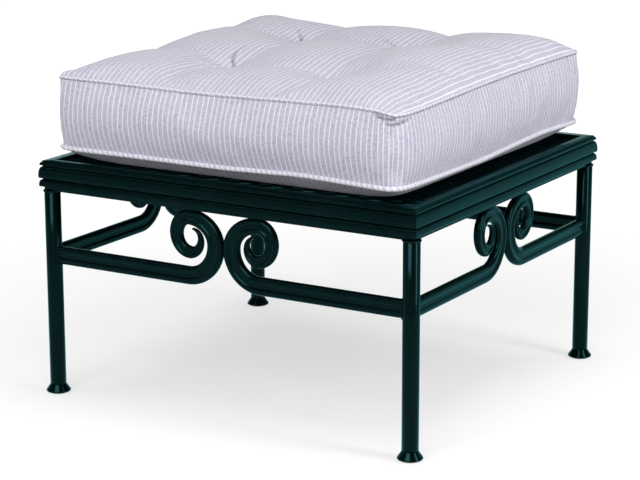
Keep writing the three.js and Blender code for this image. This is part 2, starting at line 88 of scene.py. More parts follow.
IMAGE_WIDTH = 640
FOCAL_PIXELS = 2213.3
SENSOR_WIDTH = 36.0
CAMERA_PLACE = Vector((1.6127, -2.7164, 0.9934))
CAMERA_AZIMUTH = math.radians(30.84)
CAMERA_ELEVATION = math.radians(14.01)
CAMERA_ROLL = math.radians(-0.11)


def linked(name, data):
    """A new object with the given data, in the scene."""
    made = bpy.data.objects.new(name, data)
    bpy.context.scene.collection.objects.link(made)
    return made


def make_camera():
    """The photograph's view, through a long lens."""
    data = bpy.data.cameras.new("camera")
    data.sensor_width = SENSOR_WIDTH
    data.lens = SENSOR_WIDTH * FOCAL_PIXELS / IMAGE_WIDTH
    data.clip_end = 100
    camera = linked("camera", data)
    flat = math.cos(CAMERA_ELEVATION)
    back = Vector((
        math.sin(CAMERA_AZIMUTH) * flat,
        -math.cos(CAMERA_AZIMUTH) * flat,
        math.sin(CAMERA_ELEVATION),
    ))
    camera.location = CAMERA_PLACE
    camera.rotation_mode = "QUATERNION"
    turn = (-back).to_track_quat("-Z", "Y")
    camera.rotation_quaternion = turn @ Quaternion((0, 0, 1), CAMERA_ROLL)
    bpy.context.scene.camera = camera


# Mesh helpers


@contextmanager
def edited(mesh):
    """A bmesh of the mesh, written back at the end."""
    built = bmesh.new()
    built.from_mesh(mesh)
    yield built
    built.to_mesh(mesh)
    built.free()


def evaluated(piece):
    return piece.evaluated_get(bpy.context.evaluated_depsgraph_get())


def object_from(name, points, faces, smooth=35.0, cloth=None):
    """A mesh object at the origin, smooth shaded up to the given angle between its faces. Cloth
    coordinates come for each corner of each face."""
    mesh = bpy.data.meshes.new(name)
    mesh.from_pydata([tuple(p) for p in points], [], [tuple(int(i) for i in f) for f in faces])
    if cloth is not None:
        layer = mesh.uv_layers.new(name="cloth")
        layer.data.foreach_set("uv", np.asarray(cloth, np.float32).ravel())
    with edited(mesh) as built:
        if cloth is None:
            bmesh.ops.remove_doubles(built, verts=built.verts, dist=1e-7)
        bmesh.ops.recalc_face_normals(built, faces=built.faces)
    mesh.shade_smooth()
    mesh.set_sharp_from_angle(angle=math.radians(smooth))
    return linked(name, mesh)


def gathered(shapes):
    """Points and faces of several shapes as one."""
    points, faces = [], []
    for new_points, new_faces in shapes:
        faces.extend(tuple(index + len(points) for index in face) for face in new_faces)
        points.extend(new_points)
    return points, faces


def full_turn(steps):
    return [2 * math.pi * i / steps for i in range(steps)]


def swept(rings, loop=False):
    """Points and faces of a skin over rings of points, closed as a loop or capped at both ends."""
    count, size = len(rings), len(rings[0])
    points = [p for ring in rings for p in ring]
    faces = []
    for i in range(count if loop else count - 1):
        here, following = i * size, (i + 1) % count * size
        for j in range(size):
            k = (j + 1) % size
            faces.append((here + j, here + k, following + k, following + j))
    if not loop:
        faces.append(tuple(range(size)))
        faces.append(tuple((count - 1) * size + j for j in reversed(range(size))))
    return points, faces


def turned(profile, sides):
    """Points and faces of a turned piece from radius and height pairs, first and last on the axis."""
    points = [(r * math.cos(a), r * math.sin(a), z) for a in full_turn(sides) for r, z in profile]
    size, faces = len(profile), []
    for i in range(sides):
        here, following = i * size, (i + 1) % sides * size
        for j in range(size - 1):
            faces.append((here + j, here + j + 1, following + j + 1, following + j))
    return points, faces


def arc(centre, radius, start, end, steps):
    """Points on an arc of a circle in a plane, angles in degrees."""
    angles = [math.radians(start + (end - start) * i / steps) for i in range(steps + 1)]
    return [(centre[0] + radius * math.cos(a), centre[1] + radius * math.sin(a)) for a in angles]


def placed(shape, turn=0.0, x=0.0, y=0.0, flip=False):
    """Points and faces turned about Z, after a mirror in X where flip is set, and moved."""
    c, s = math.cos(turn), math.sin(turn)
    mirror = -1 if flip else 1
    points = [(mirror * px * c - py * s + x, mirror * px * s + py * c + y, pz) for px, py, pz in shape[0]]
    return points, shape[1]


def finished(piece, material, body, slot, *nodes):
    """Gives a piece its material and its body, and hides the CAD nodes it stands for."""
    piece.data.materials.clear()
    piece.data.materials.append(material)
    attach(piece, body)
    if nodes:
        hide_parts(*nodes)


def painted(name, shape, smooth, coat, *nodes):
    """A piece of the frame from its points and faces."""
    finished(object_from(name, *shape, smooth), coat, "frame", "frame_paint", *nodes)


# Materials


class Nodes:
    """A short way to build the nodes of a material, the world or a modifier."""

    def __init__(self, owner):
        if not isinstance(owner, bpy.types.NodeTree):
            owner.use_nodes = True
        self.owner, self.tree = owner, getattr(owner, "node_tree", owner)

    def put(self, socket, value):
        if isinstance(value, bpy.types.NodeSocket):
            self.tree.links.new(value, socket)
        elif isinstance(value, tuple):
            socket.default_value = (*value, 1)
        elif value is not None:
            socket.default_value = value

    def add(self, kind, sockets=None, **settings):
        node = self.tree.nodes.new(kind)
        for key, value in settings.items():
            setattr(node, key, value)
        for key, value in (sockets or {}).items():
            self.put(node.inputs[key], value)
        return node

    def coordinates(self, name="Object"):
        return self.add("ShaderNodeTexCoord").outputs[name]

    def split(self, vector):
        return self.add("ShaderNodeSeparateXYZ", {0: vector}).outputs

    def math(self, operation, *values):
        return self.add("ShaderNodeMath", dict(enumerate(values)), operation=operation).outputs[0]

    def noise(self, vector, scale, detail=2.0, roughness=0.5):
        return self.add("ShaderNodeTexNoise", {
            "Vector": vector, "Scale": scale, "Detail": detail, "Roughness": roughness,
        }).outputs["Fac"]

    def mix(self, factor, first, second):
        return self.add("ShaderNodeMix", {0: factor, 6: first, 7: second}, data_type="RGBA").outputs[2]

    def span(self, value, low, high, new_low=0.0, new_high=1.0):
        numbers = (value, low, high, new_low, new_high)
        return self.add("ShaderNodeMapRange", dict(enumerate(numbers))).outputs[0]

    def bump(self, height, distance, strength=1.0, normal=None):
        return self.add("ShaderNodeBump", {
            "Strength": strength, "Distance": distance, "Height": height, "Normal": normal,
        }).outputs["Normal"]

    def set(self, **sockets):
        shader = self.tree.nodes["Principled BSDF"]
        for key, value in sockets.items():
            self.put(shader.inputs[key.replace("_", " ")], value)
        return self.owner


def new_material(name):
    """A new material's nodes, and where a point of the piece lies."""
    n = Nodes(bpy.data.materials.new(name))
    return n, n.coordinates()


def powder_coat():
    """Glossy, very dark green powder coat with a fine orange peel and a trace of dust on top faces. The
    metallic share gives its reflections the coat's own tint."""
    n, place = new_material("powder_coat")
    peel = n.noise(place, 900, detail=1)
    wave = n.noise(place, 130, detail=2)
    cloud = n.noise(place, 22, detail=4)
    up = n.split(n.add("ShaderNodeNewGeometry").outputs["Normal"])["Z"]
    dusty = n.math("MULTIPLY", n.span(up, 0.55, 1.0), n.span(cloud, 0.4, 0.75))
    base = n.mix(n.span(cloud, 0.35, 0.7), (0.0022, 0.0110, 0.0115), (0.0032, 0.0140, 0.0145))
    colour = n.mix(n.math("MULTIPLY", dusty, 0.05), base, (0.05, 0.06, 0.06))
    rough = n.math("ADD", n.span(cloud, 0.3, 0.7, 0.13, 0.18), n.math("MULTIPLY", dusty, 0.1))
    height = n.math("ADD", n.math("MULTIPLY", peel, 0.35), wave)
    return n.set(
        Base_Color=colour, Roughness=rough, Normal=n.bump(height, 0.00012, 0.5),
        Metallic=0.8, Specular_IOR_Level=0.1, Specular_Tint=(0.41, 0.71, 0.74),
    )


def moulded_nylon():
    """Black nylon of the glides, scuffed underneath."""
    n, place = new_material("moulded_nylon")
    grain = n.noise(place, 1500, detail=3)
    colour = n.mix(n.span(grain, 0.4, 0.7), (0.008, 0.008, 0.009), (0.03, 0.03, 0.03))
    return n.set(Base_Color=colour, Roughness=0.55, Normal=n.bump(grain, 0.00008, 0.6))


STRIPE_PERIOD = 16.7 * MM
STRIPE_STEP = 7.75 * MM
STRIPE_HALF = 0.9 * MM
PIPING_STRIPE_HALF = 2.2 * MM
YARN = 0.62 * MM
# Strength of the painted shade in creases and under the bottom seam
FOLD_SHADE = 0.8


def ticking(name, stripe_half, lightness):
    """Pale grey lilac ticking with thin light stripes in unevenly spaced pairs. Reads the piece's own
    cloth coordinates, in metres, with the stripes along the second one, and paints shade into its creases and
    under the bottom seam from a value kept on its points."""
    n, place = new_material(name)
    across, along, _ = n.split(n.add("ShaderNodeUVMap", uv_map="cloth").outputs["UV"])
    wander = n.math("MULTIPLY", n.math("SUBTRACT", n.noise(place, 60, detail=2), 0.5), 0.7 * MM)
    across_w = n.math("ADD", across, wander)

    def stripe(offset):
        shifted = n.math("ADD", across_w, STRIPE_PERIOD / 2 - offset)
        wrapped = n.math("FLOORED_MODULO", shifted, STRIPE_PERIOD)
        away = n.math("ABSOLUTE", n.math("SUBTRACT", wrapped, STRIPE_PERIOD / 2))
        return n.span(away, stripe_half * 0.5, stripe_half * 1.4, 1.0, 0.0)

    def yarn_noise(yarns_across, yarns_along):
        scaled = n.add("ShaderNodeCombineXYZ", {
            0: n.math("MULTIPLY", across, yarns_across / YARN),
            1: n.math("MULTIPLY", along, yarns_along / YARN),
        })
        return n.noise(scaled.outputs[0], 1.0, detail=2, roughness=0.6)

    def threads(direction):
        return n.math("ABSOLUTE", n.math("SINE", n.math("MULTIPLY", direction, math.pi / YARN)))

    stripes = n.math("MAXIMUM", stripe(0.0), stripe(STRIPE_STEP))
    fleck, slub = yarn_noise(1, 0.22), yarn_noise(0.16, 0.9)
    patch = n.noise(place, 14, detail=3)
    melange = n.noise(place, 330, detail=2, roughness=0.7)
    ground = n.mix(n.span(fleck, 0.3, 0.7), (0.43, 0.415, 0.525), (0.69, 0.675, 0.785))
    for strength, colour in (
        (n.math("MULTIPLY", n.span(slub, 0.45, 0.75), 0.45), (0.34, 0.33, 0.43)),
        (n.math("MULTIPLY", n.span(melange, 0.48, 0.68), 0.75), (0.31, 0.30, 0.40)),
        (n.math("MULTIPLY", n.span(patch, 0.4, 0.7), 0.22), (0.60, 0.57, 0.66)),
        (lightness, (0.80, 0.79, 0.86)),
    ):
        ground = n.mix(strength, ground, colour)
    strength = n.math("MULTIPLY", stripes, n.span(slub, 0.2, 0.6, 0.75, 1.0))
    painted_shade = n.add("ShaderNodeAttribute", attribute_name="painted_shade").outputs["Fac"]
    colour = n.mix(n.math("MULTIPLY", strength, 0.9), ground, (0.83, 0.82, 0.89))
    # Painted shade: darker in the creases and under the bottom seam
    colour = n.mix(n.math("MULTIPLY", painted_shade, FOLD_SHADE), colour, (0.06, 0.055, 0.09))
    weave = n.math("ADD", *(n.math("MULTIPLY", threads(way), 0.5) for way in (across, along)))
    weave = n.math("ADD", weave, n.math("MULTIPLY", stripes, 0.5))
    ripple = n.noise(place, 42, detail=3, roughness=0.55)
    normal = n.bump(ripple, 0.0012, 0.35, n.bump(weave, 0.00022, 0.7))
    return n.set(
        Base_Color=colour, Roughness=0.88, Normal=normal, Sheen_Weight=0.25, Sheen_Roughness=0.5,
        Specular_IOR_Level=0.2,
    )


def foam_wadding():
    n, place = new_material("foam_wadding")
    cells = n.noise(place, 700, detail=3)
    colour = n.mix(cells, (0.72, 0.68, 0.52), (0.86, 0.83, 0.70))
    return n.set(Base_Color=colour, Roughness=0.95, Normal=n.bump(cells, 0.0005, 0.8))


def plain_yarn(name, low, high):
    """Twisted thread or tape, in two close shades."""
    n, place = new_material(name)
    strands = n.noise(place, 1400, detail=2)
    colour = n.mix(n.span(strands, 0.35, 0.65), low, high)
    return n.set(Base_Color=colour, Roughness=0.8, Normal=n.bump(strands, 0.0001, 0.7), Sheen_Weight=0.2)


def nickel():
    n, place = new_material("nickel")
    haze = n.noise(place, 260, detail=4)
    rough = n.span(haze, 0.35, 0.7, 0.18, 0.38)
    normal = n.bump(haze, 0.00005, 0.3)
    return n.set(Base_Color=(0.52, 0.51, 0.5), Metallic=1.0, Roughness=rough, Normal=normal)


# Frame: rails

LIP_HEIGHT = 5.8 * MM
LIP_INSET = 6.0 * MM
LOWER_RIB = 10.3 * MM
LOWER_INSET = 0.5 * MM
MIDDLE_RIB = 16.4 * MM
TOP_INSET = 1.5 * MM
GROOVE_WIDTH = 2.0 * MM
GROOVE_DEPTH = 3.8 * MM
RIB_FOOT = 1.6 * MM
# Share of a rib's height that leans back to the groove above it
RIB_LEAN = 0.72
TOP_DROP = 3.4 * MM
TOP_BEAD = 0.8 * MM
EDGE_ROUND = 1.1 * MM
MITRE_GAP = 0.15 * MM
ARC_STEPS = 6


def rib(face, drop, low, high):
    """Outer line of one rib: a small round foot, a face, and a crown that leans back by the drop."""
    line = arc((face - RIB_FOOT, low + RIB_FOOT), RIB_FOOT, -90, 0, 3)
    lean = (high - low) * RIB_LEAN
    for i in range(ARC_STEPS + 1):
        angle = math.pi / 2 * i / ARC_STEPS
        line.append((face - drop * (1 - math.cos(angle)), high - lean * (1 - math.sin(angle))))
    return line


def rail_outline():
    """Section of a rail as distance out from the leg axis and height, anticlockwise from the inner foot."""
    inner = RAIL_OVERHANG - RAIL_WIDTH
    lip = RAIL_OVERHANG - LIP_INSET
    z = RAIL_BOTTOM
    line = [(inner, z)]
    line += arc((lip - EDGE_ROUND, z + EDGE_ROUND), EDGE_ROUND, -90, 0, 3)
    z += LIP_HEIGHT
    line.append((lip, z - EDGE_ROUND))
    line.append((lip + EDGE_ROUND, z))
    for height, inset in ((LOWER_RIB, LOWER_INSET), (MIDDLE_RIB, 0.0)):
        line += rib(RAIL_OVERHANG - inset, GROOVE_DEPTH - inset, z, z + height)
        z += height
        line += arc((RAIL_OVERHANG - GROOVE_DEPTH, z + GROOVE_WIDTH / 2), GROOVE_WIDTH / 2, -90, -270, 4)
        z += GROOVE_WIDTH
    face = RAIL_OVERHANG - TOP_INSET
    line += rib(face, TOP_DROP, z, RAIL_TOP - 2 * TOP_BEAD)
    line += arc((face - TOP_DROP, RAIL_TOP - TOP_BEAD), TOP_BEAD, -60, 90, 4)
    line += arc((inner + EDGE_ROUND, RAIL_TOP - EDGE_ROUND), EDGE_ROUND, 90, 180, 3)
    return line


def make_rail(side, coat):
    along, across, turn = SIDES[side]
    ends = [
        [(end * (along + out - MITRE_GAP), -(across + out), z) for out, z in rail_outline()]
        for end in (-1, 1)
    ]
    painted(f"rail_{side}_coated", placed(swept(ends), turn), 40, coat, f"rail_{side}")


# Frame: scroll stretchers

BAR_HEIGHT = 25.4 * MM
BAR_THICKNESS = BAR_HIGH.y - BAR_LOW.y
BAR_MID = BAR_LOW.z + BAR_HEIGHT / 2
SEAT_GAP = 0.3 * MM
BEND_RUN, BEND_RISE = 45.2 * MM, 46.2 * MM
OVER_RUN = 42.7 * MM
FACE_RUN, FACE_DROP = 21.7 * MM, 24.4 * MM
HEEL_RUN, HEEL_DROP = 22.9 * MM, 25.6 * MM
EYE_RUN, EYE_RISE = 17.0 * MM, 18.6 * MM
TIP_RUN, TIP_RISE = 13.5 * MM, 15.0 * MM
HEIGHT_SHARES = (1, 1, 0.85, 0.79, 0.69, 0.34, 0.1)
THICKNESS_SHARES = (1, 1, 0.95, 0.88, 0.78, 0.55, 0.3)
QUARTER_STEPS = 12
REED_STEPS = 9
REED_CENTRE = 0.27
REED_WAIST = 0.36
# Where a bar starts inside the leg, as a share of the leg's radius
LEG_FACE_SHARE = 0.6


def reed_section():
    """Section of the bar in shares of its height and thickness: two round reeds with a groove between."""
    half = []
    for i in range(REED_STEPS + 1):
        angle = math.radians(20 + 160 * i / REED_STEPS)
        up = REED_CENTRE - 0.24 * math.cos(angle)
        out = max(REED_WAIST if up < 0.06 else 0.0, 0.5 * math.sin(angle) ** 0.8)
        half.append((up, out))
    half = [(up, out) for up, out in half if up > 0.02]
    front = [(-up, out) for up, out in reversed(half)] + [(0.0, REED_WAIST)] + half
    return front + [(up, -out) for up, out in reversed(front)]


def scroll_line(along):
    """Middle line of a bar in its side's plane, with its height and thickness at each point."""
    bend_x = -(BAR_HEIGHT + SEAT_GAP) / 2
    curl_z = BAR_MID + BEND_RISE
    top_z = RAIL_BOTTOM - SEAT_GAP - BAR_HEIGHT * HEIGHT_SHARES[2] / 2
    over_x = bend_x - OVER_RUN
    face_x, face_z = over_x - FACE_RUN, top_z - FACE_DROP
    heel_x, heel_z = face_x + HEEL_RUN, face_z - HEEL_DROP
    eye_x, eye_z = heel_x + EYE_RUN, heel_z + EYE_RISE
    start_x = bend_x - BEND_RUN
    turns = (
        ((start_x, curl_z), (0, -BEND_RISE), (BEND_RUN, 0)),
        ((over_x, curl_z), (OVER_RUN, 0), (0, top_z - curl_z)),
        ((over_x, face_z), (0, FACE_DROP), (-FACE_RUN, 0)),
        ((heel_x, face_z), (-HEEL_RUN, 0), (0, -HEEL_DROP)),
        ((heel_x, eye_z), (0, -EYE_RISE), (EYE_RUN, 0)),
        ((eye_x - TIP_RUN, eye_z), (TIP_RUN, 0), (0, TIP_RISE)),
    )
    leg_face = -along + LEG_RADIUS * LEG_FACE_SHARE
    line = [((x, BAR_MID), 1.0, 1.0) for x in np.linspace(leg_face, start_x, 8)]
    for turn, (centre, a, b) in enumerate(turns):
        for i in range(1, QUARTER_STEPS + 1):
            share = i / QUARTER_STEPS
            c, s = math.cos(share * math.pi / 2), math.sin(share * math.pi / 2)
            place = (centre[0] + a[0] * c + b[0] * s, centre[1] + a[1] * c + b[1] * s)
            line.append((place, *(
                shares[turn] + (shares[turn + 1] - shares[turn]) * share
                for shares in (HEIGHT_SHARES, THICKNESS_SHARES)
            )))
    return line


def scroll_bar(along, across):
    """Points and faces of the left bar of a side."""
    line = scroll_line(along)
    section = reed_section()
    rings = []
    for i, ((x, z), tall, thick) in enumerate(line):
        before = line[max(i - 1, 0)][0]
        after = line[min(i + 1, len(line) - 1)][0]
        run = np.array([after[0] - before[0], after[1] - before[1]])
        run /= np.linalg.norm(run)
        height, thickness = BAR_HEIGHT * tall, BAR_THICKNESS * thick
        rings.append([
            (x - run[1] * up * height, -across + out * thickness, z + run[0] * up * height)
            for up, out in section
        ])
    return swept(rings)


def make_scrolls(side, coat):
    along, across, turn = SIDES[side]
    for letter, flip in (("a", False), ("b", True)):
        name = f"scroll_{side}_{letter}"
        painted(f"{name}_coated", placed(scroll_bar(along, across), turn, flip=flip), 60, coat, name)


# Frame: weld beads

BEAD_RADIUS = 1.5 * MM
BEAD_SIDES = 8
BEAD_RIPPLE = 0.16
BEAD_RIPPLES = 14
BEAD_OUT_SHARE = 0.2
WELD_SPREAD = 1.04


def bead_round(path):
    """A closed weld bead along a loop of points, with the ripples of its puddles."""
    rings = []
    for i, place in enumerate(path):
        run = (path[(i + 1) % len(path)] - path[i - 1]).normalized()
        side = run.orthogonal().normalized()
        other = run.cross(side)
        size = BEAD_RADIUS * (1 + BEAD_RIPPLE * math.sin(2 * math.pi * BEAD_RIPPLES * i / len(path)))
        rings.append([
            place + side * size * math.cos(a) + other * size * math.sin(a) for a in full_turn(BEAD_SIDES)
        ])
    return swept(rings, loop=True)


def even_loop(points, count):
    """A closed line drawn again with evenly spaced points."""
    line = np.array([*points, points[0]], float)
    reach = np.concatenate([[0], np.cumsum(np.linalg.norm(np.diff(line, axis=0), axis=1))])
    marks = np.linspace(0, reach[-1], count, endpoint=False)
    return [Vector(np.array([np.interp(m, reach, line[:, axis]) for axis in range(3)])) for m in marks]


def make_leg_welds(corner, coat):
    """Beads where the two stretchers and the rails meet one leg."""
    sign_x, sign_y = CORNERS[corner]
    beads = []
    for axis in (0, 1):
        loop = []
        for up, share in reed_section():
            out = share * BAR_THICKNESS
            reach = math.sqrt(max(LEG_RADIUS ** 2 - out ** 2, 0)) + BEAD_RADIUS * BEAD_OUT_SHARE
            x, y = (reach, out) if axis == 0 else (out, reach)
            height = BAR_MID + up * BAR_HEIGHT * WELD_SPREAD
            loop.append((sign_x * (LEG_X - x), sign_y * (LEG_Y - y), height))
        beads.append(bead_round(even_loop(loop, 84)))
    rim = [
        (sign_x * LEG_X + LEG_RADIUS * math.cos(a), sign_y * LEG_Y + LEG_RADIUS * math.sin(a),
         RAIL_BOTTOM - BEAD_RADIUS * 0.5)
        for a in full_turn(72)
    ]
    beads.append(bead_round(even_loop(rim, 96)))
    painted(f"welds_{corner}", gathered(beads), 80, coat)


# Frame: legs, feet and glides

TURNED_SIDES = 56
FLARE_RADIUS = (FOOT_HIGH.x - FOOT_LOW.x) / 2
FLARE_BOTTOM = FOOT_LOW.z
FLARE_ROUND = 1.7 * MM
NECK_ROUND = 1.2 * MM
LEG_EDGE = 0.4 * MM
GLIDE_ROUND = 0.8 * MM


def make_leg(corner, coat, nylon):
    """A leg, its foot and its glide, each turned."""
    sign_x, sign_y = CORNERS[corner]

    def standing(profile):
        return placed(turned(profile, TURNED_SIDES), x=sign_x * LEG_X, y=sign_y * LEG_Y)

    leg = [
        (0, LEG_LOW.z), (LEG_RADIUS - LEG_EDGE, LEG_LOW.z), (LEG_RADIUS, LEG_LOW.z + LEG_EDGE),
        (LEG_RADIUS, LEG_HIGH.z - LEG_EDGE), (LEG_RADIUS - LEG_EDGE, LEG_HIGH.z), (0, LEG_HIGH.z),
    ]
    painted(f"leg_{corner}_coated", standing(leg), 50, coat, f"leg_{corner}")
    neck = LEG_LOW.z - SEAT_GAP
    foot = [(0, neck), (LEG_RADIUS, neck), (LEG_RADIUS + 0.35 * NECK_ROUND, neck - 0.9 * NECK_ROUND)]
    foot += arc((FLARE_RADIUS - FLARE_ROUND, FLARE_BOTTOM + FLARE_ROUND), FLARE_ROUND, 28, -90, 12)
    foot += [(0, FLARE_BOTTOM)]
    painted(f"foot_{corner}_coated", standing(foot), 40, coat, f"foot_{corner}")
    low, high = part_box(f"glide_{corner}")
    radius = (high.x - low.x) / 2
    top = FLARE_BOTTOM - SEAT_GAP / 2
    button = [(0, 0)] + arc((radius - GLIDE_ROUND, GLIDE_ROUND), GLIDE_ROUND, -90, 0, 5)
    button += [(radius, top), (0, top)]
    glide = object_from(f"glide_{corner}_moulded", *standing(button), 40)
    finished(glide, nylon, "frame", "glide_nylon", f"glide_{corner}")


# Geometry Nodes helpers


def new_tree(name, inputs):
    """Nodes for a modifier, its inputs as label and socket type pairs. Also returns the given sockets."""
    tree = bpy.data.node_groups.new(name, "GeometryNodeTree")
    tree.is_modifier = True
    tree.interface.new_socket("Geometry", in_out="INPUT", socket_type="NodeSocketGeometry")
    for label, kind in inputs:
        tree.interface.new_socket(label, in_out="INPUT", socket_type=f"NodeSocket{kind}")
    tree.interface.new_socket("Geometry", in_out="OUTPUT", socket_type="NodeSocketGeometry")
    n = Nodes(tree)
    return n, n.add("NodeGroupInput").outputs


def copies_on(n, points, motif, material, **more):
    """Ends a tree with copies of a motif object on points, made real and given a material."""
    shape = n.add("GeometryNodeObjectInfo", {"Object": motif}).outputs["Geometry"]
    copies = n.add("GeometryNodeInstanceOnPoints", {"Points": points, "Instance": shape, **more})
    solid = n.add("GeometryNodeRealizeInstances", {"Geometry": copies.outputs[0]})
    covered = n.add("GeometryNodeSetMaterial", {"Geometry": solid.outputs[0], "Material": material})
    n.add("NodeGroupOutput", {0: covered.outputs[0]})


def grown(name, carrier, tree, values):
    """Runs a tree on a carrier object and returns the result as a plain mesh object."""
    modifier = carrier.modifiers.new(tree.name, "NODES")
    modifier.node_group = tree
    for item in tree.interface.items_tree:
        if item.in_out == "INPUT" and item.name in values:
            modifier[item.identifier] = values[item.name]
    bpy.context.view_layer.update()
    mesh = bpy.data.meshes.new_from_object(evaluated(carrier))
    mesh.name = name
    carrier.modifiers.clear()
    bpy.data.objects.remove(carrier)
    return linked(name, mesh)


# Frame: expanded metal deck

MESH_SHORT = 23.4 * MM
MESH_LONG = 50.8 * MM
STRAND_WIDTH = 5.2 * MM
STRAND_THICKNESS = 2.3 * MM
STRAND_TILT = math.radians(60)
BOND_HALF = 5.0 * MM
BOND_OVERLAP = 1.0 * MM
STRAND_SHIFT = 0.42
STRAND_SIDES = 10


def strand_pair():
    """The bond of the expanded metal with the two tilted strands that leave it towards +X."""
    c, s = math.cos(STRAND_TILT), math.sin(STRAND_TILT)
    broad = Vector((0, c, s)) * STRAND_WIDTH / 2
    thin = Vector((0, -s, c)) * STRAND_THICKNESS / 2
    section = [broad * math.cos(a) + thin * math.sin(a) for a in full_turn(STRAND_SIDES)]
    strands = []
    for side in (-1, 1):
        shift = side * STRAND_WIDTH * STRAND_SHIFT
        far = side * MESH_SHORT / 2 - shift
        route = [
            Vector((-BOND_OVERLAP, shift, 0)), Vector((BOND_HALF, shift, 0)),
            Vector((MESH_LONG / 2 - BOND_HALF, far, 0)), Vector((MESH_LONG / 2 + BOND_OVERLAP, far, 0)),
        ]
        strands.append(swept([[place + offset for offset in section] for place in route]))
    return object_from("strand_pair", *gathered(strands), 70)


def make_deck(coat):
    """Expanded metal sheet: strands on a staggered grid of bonds, trimmed to the opening of the frame."""
    n, given = new_tree("expanded_metal", (
        ("Strands", "Object"), ("Paint", "Material"), ("Columns", "Int"), ("Rows", "Int"),
        ("Width", "Float"), ("Depth", "Float"), ("Half step", "Vector"),
    ))
    bonds = n.add("GeometryNodeMeshGrid", {
        "Size X": given["Width"], "Size Y": given["Depth"],
        "Vertices X": given["Columns"], "Vertices Y": given["Rows"],
    }).outputs["Mesh"]
    shifted = n.add("GeometryNodeTransform", {"Geometry": bonds, "Translation": given["Half step"]})
    joined = n.add("GeometryNodeJoinGeometry", {0: bonds})
    n.put(joined.inputs[0], shifted.outputs[0])
    copies_on(n, joined.outputs[0], given["Strands"], given["Paint"])

    columns = int((DECK_HIGH.x - DECK_LOW.x) / MESH_LONG) + 4
    rows = int((DECK_HIGH.y - DECK_LOW.y) / MESH_SHORT) + 4
    motif_object = strand_pair()
    carrier = object_from("deck_carrier", [(0, 0, 0), (MM, 0, 0), (0, MM, 0)], [(0, 1, 2)])
    deck = grown("deck_expanded_metal", carrier, n.tree, {
        "Strands": motif_object, "Paint": coat, "Columns": columns, "Rows": rows,
        "Width": (columns - 1) * MESH_LONG, "Depth": (rows - 1) * MESH_SHORT,
        "Half step": (MESH_LONG / 2, MESH_SHORT / 2, 0),
    })
    bpy.data.objects.remove(motif_object)
    height = STRAND_WIDTH / 2 * math.sin(STRAND_TILT) + STRAND_THICKNESS / 2 * math.cos(STRAND_TILT)
    deck.data.transform(Matrix.Translation((0, 0, DECK_TOP - height)))
    cuts = (
        ((DECK_LOW.x, 0, 0), (-1, 0, 0)), ((DECK_HIGH.x, 0, 0), (1, 0, 0)),
        ((0, DECK_LOW.y, 0), (0, -1, 0)), ((0, DECK_HIGH.y, 0), (0, 1, 0)),
    )
    with edited(deck.data) as built:
        for place, away in cuts:
            everything = built.verts[:] + built.edges[:] + built.faces[:]
            bmesh.ops.bisect_plane(built, geom=everything, plane_co=place, plane_no=away, clear_outer=True)
            rim = [edge for edge in built.edges if edge.is_boundary]
            bmesh.ops.holes_fill(built, edges=rim, sides=0)
    finished(deck, coat, "frame", "frame_paint", "deck_mesh")


# Cushion: the cover's grid

CUSHION_X = WELT_HIGH.x - WELT_LOW.x + 4 * MM
CUSHION_Y = 544 * MM
WELT_RADIUS = (WELT_HIGH.z - WELT_LOW.z) / 2
BOTTOM_SEAM = (WELT_HIGH.z + WELT_LOW.z) / 2
TOP_SEAM = (WELT_TOP_HIGH.z + WELT_TOP_LOW.z) / 2
CELLS_X, CELLS_Y, CELLS_Z = 108, 108, 20
SIDE_DRAW_IN = 10.5 * MM
CORNER_CUT = 5.0 * MM
TUFT_SHARE = 1 / 3
# Places of the tufts in the plan, in millimetres
TUFTS = {
    "front_left": (-95, -105), "front_right": (80, -108),
    "back_right": (76, 108), "back_left": (-98, 108),
}
EDGE_POWER = 12
GATHERED = 0.45
BACK_DRAW_SHARE = 0.25
CORNER_POWER = 36
LOW_CORNER_POWER = 22
CROWN_TUFT, CROWN_RIDGE, CROWN_PILLOW = 3 * MM, 7 * MM, 4 * MM
DIMPLE = 5 * MM
DIMPLE_REACH = 0.1
FRONT_FLATTER = 0.3
EAR = 3.5 * MM
EAR_REACH = 28 * MM
EAR_EDGE = 9 * MM
ZIP_MID = (TAPE_LOW.z + TAPE_HIGH.z) / 2
ZIP_HALF = TAPE_HIGH.x
BACK_FACE = SLIDER_LOW.y + 2.3 * MM
LIP_HALF = 4.3 * MM
FRONT_BULGE, SIDE_BULGE, BACK_BULGE, CORNER_BULGE = 15 * MM, 9 * MM, 5 * MM, 5 * MM
AWAY_POWER = 24
# A place on the rim belongs to the front or the back where it faces that way by more than this
FACING = 0.75
# Where the back's rows stop being level for the zip, and over how much, as shares of half the width
LEVEL_END, LEVEL_FADE = 0.97, 0.12
UNDER_INSET = 0.35
NEAR_CORNER_FLATTER = 3.5 * MM
LOW_CORNER_CUT = 6.5 * MM
UNDER_CURVE = 27 * MM
UNDER_SLOPE = 1.4
UNDER_POWER = -1.2
NEAR_CORNER_IN = 11 * MM
NEAR_CORNER_POWER = 7


def lines(cells):
    """Grid lines as shares of the half size, closer together at the tufts and at the edges."""
    even = np.linspace(-1, 1, cells + 1)
    return even + GATHERED * np.sin(math.pi * even / TUFT_SHARE) * TUFT_SHARE / math.pi


def plan(u, v, cut=CORNER_CUT, power=CORNER_POWER):
    """Place in the plan from shares of the half sizes, sides drawn in and corners rounded."""
    half_x = CUSHION_X / 2 - SIDE_DRAW_IN * (1 - v ** 2)
    draw_y = np.where(v < 0, SIDE_DRAW_IN, BACK_DRAW_SHARE * SIDE_DRAW_IN)
    half_y = CUSHION_Y / 2 - draw_y * (1 - u ** 2)
    corner = cut * np.abs(u * v) ** power
    return u * half_x - np.sign(u) * corner, v * half_y - np.sign(v) * corner


def eased(value, low, high):
    """From 0 to 1 between two values, without a corner at either."""
    share = np.clip((value - low) / (high - low), 0, 1)
    return share * share * (3 - 2 * share)


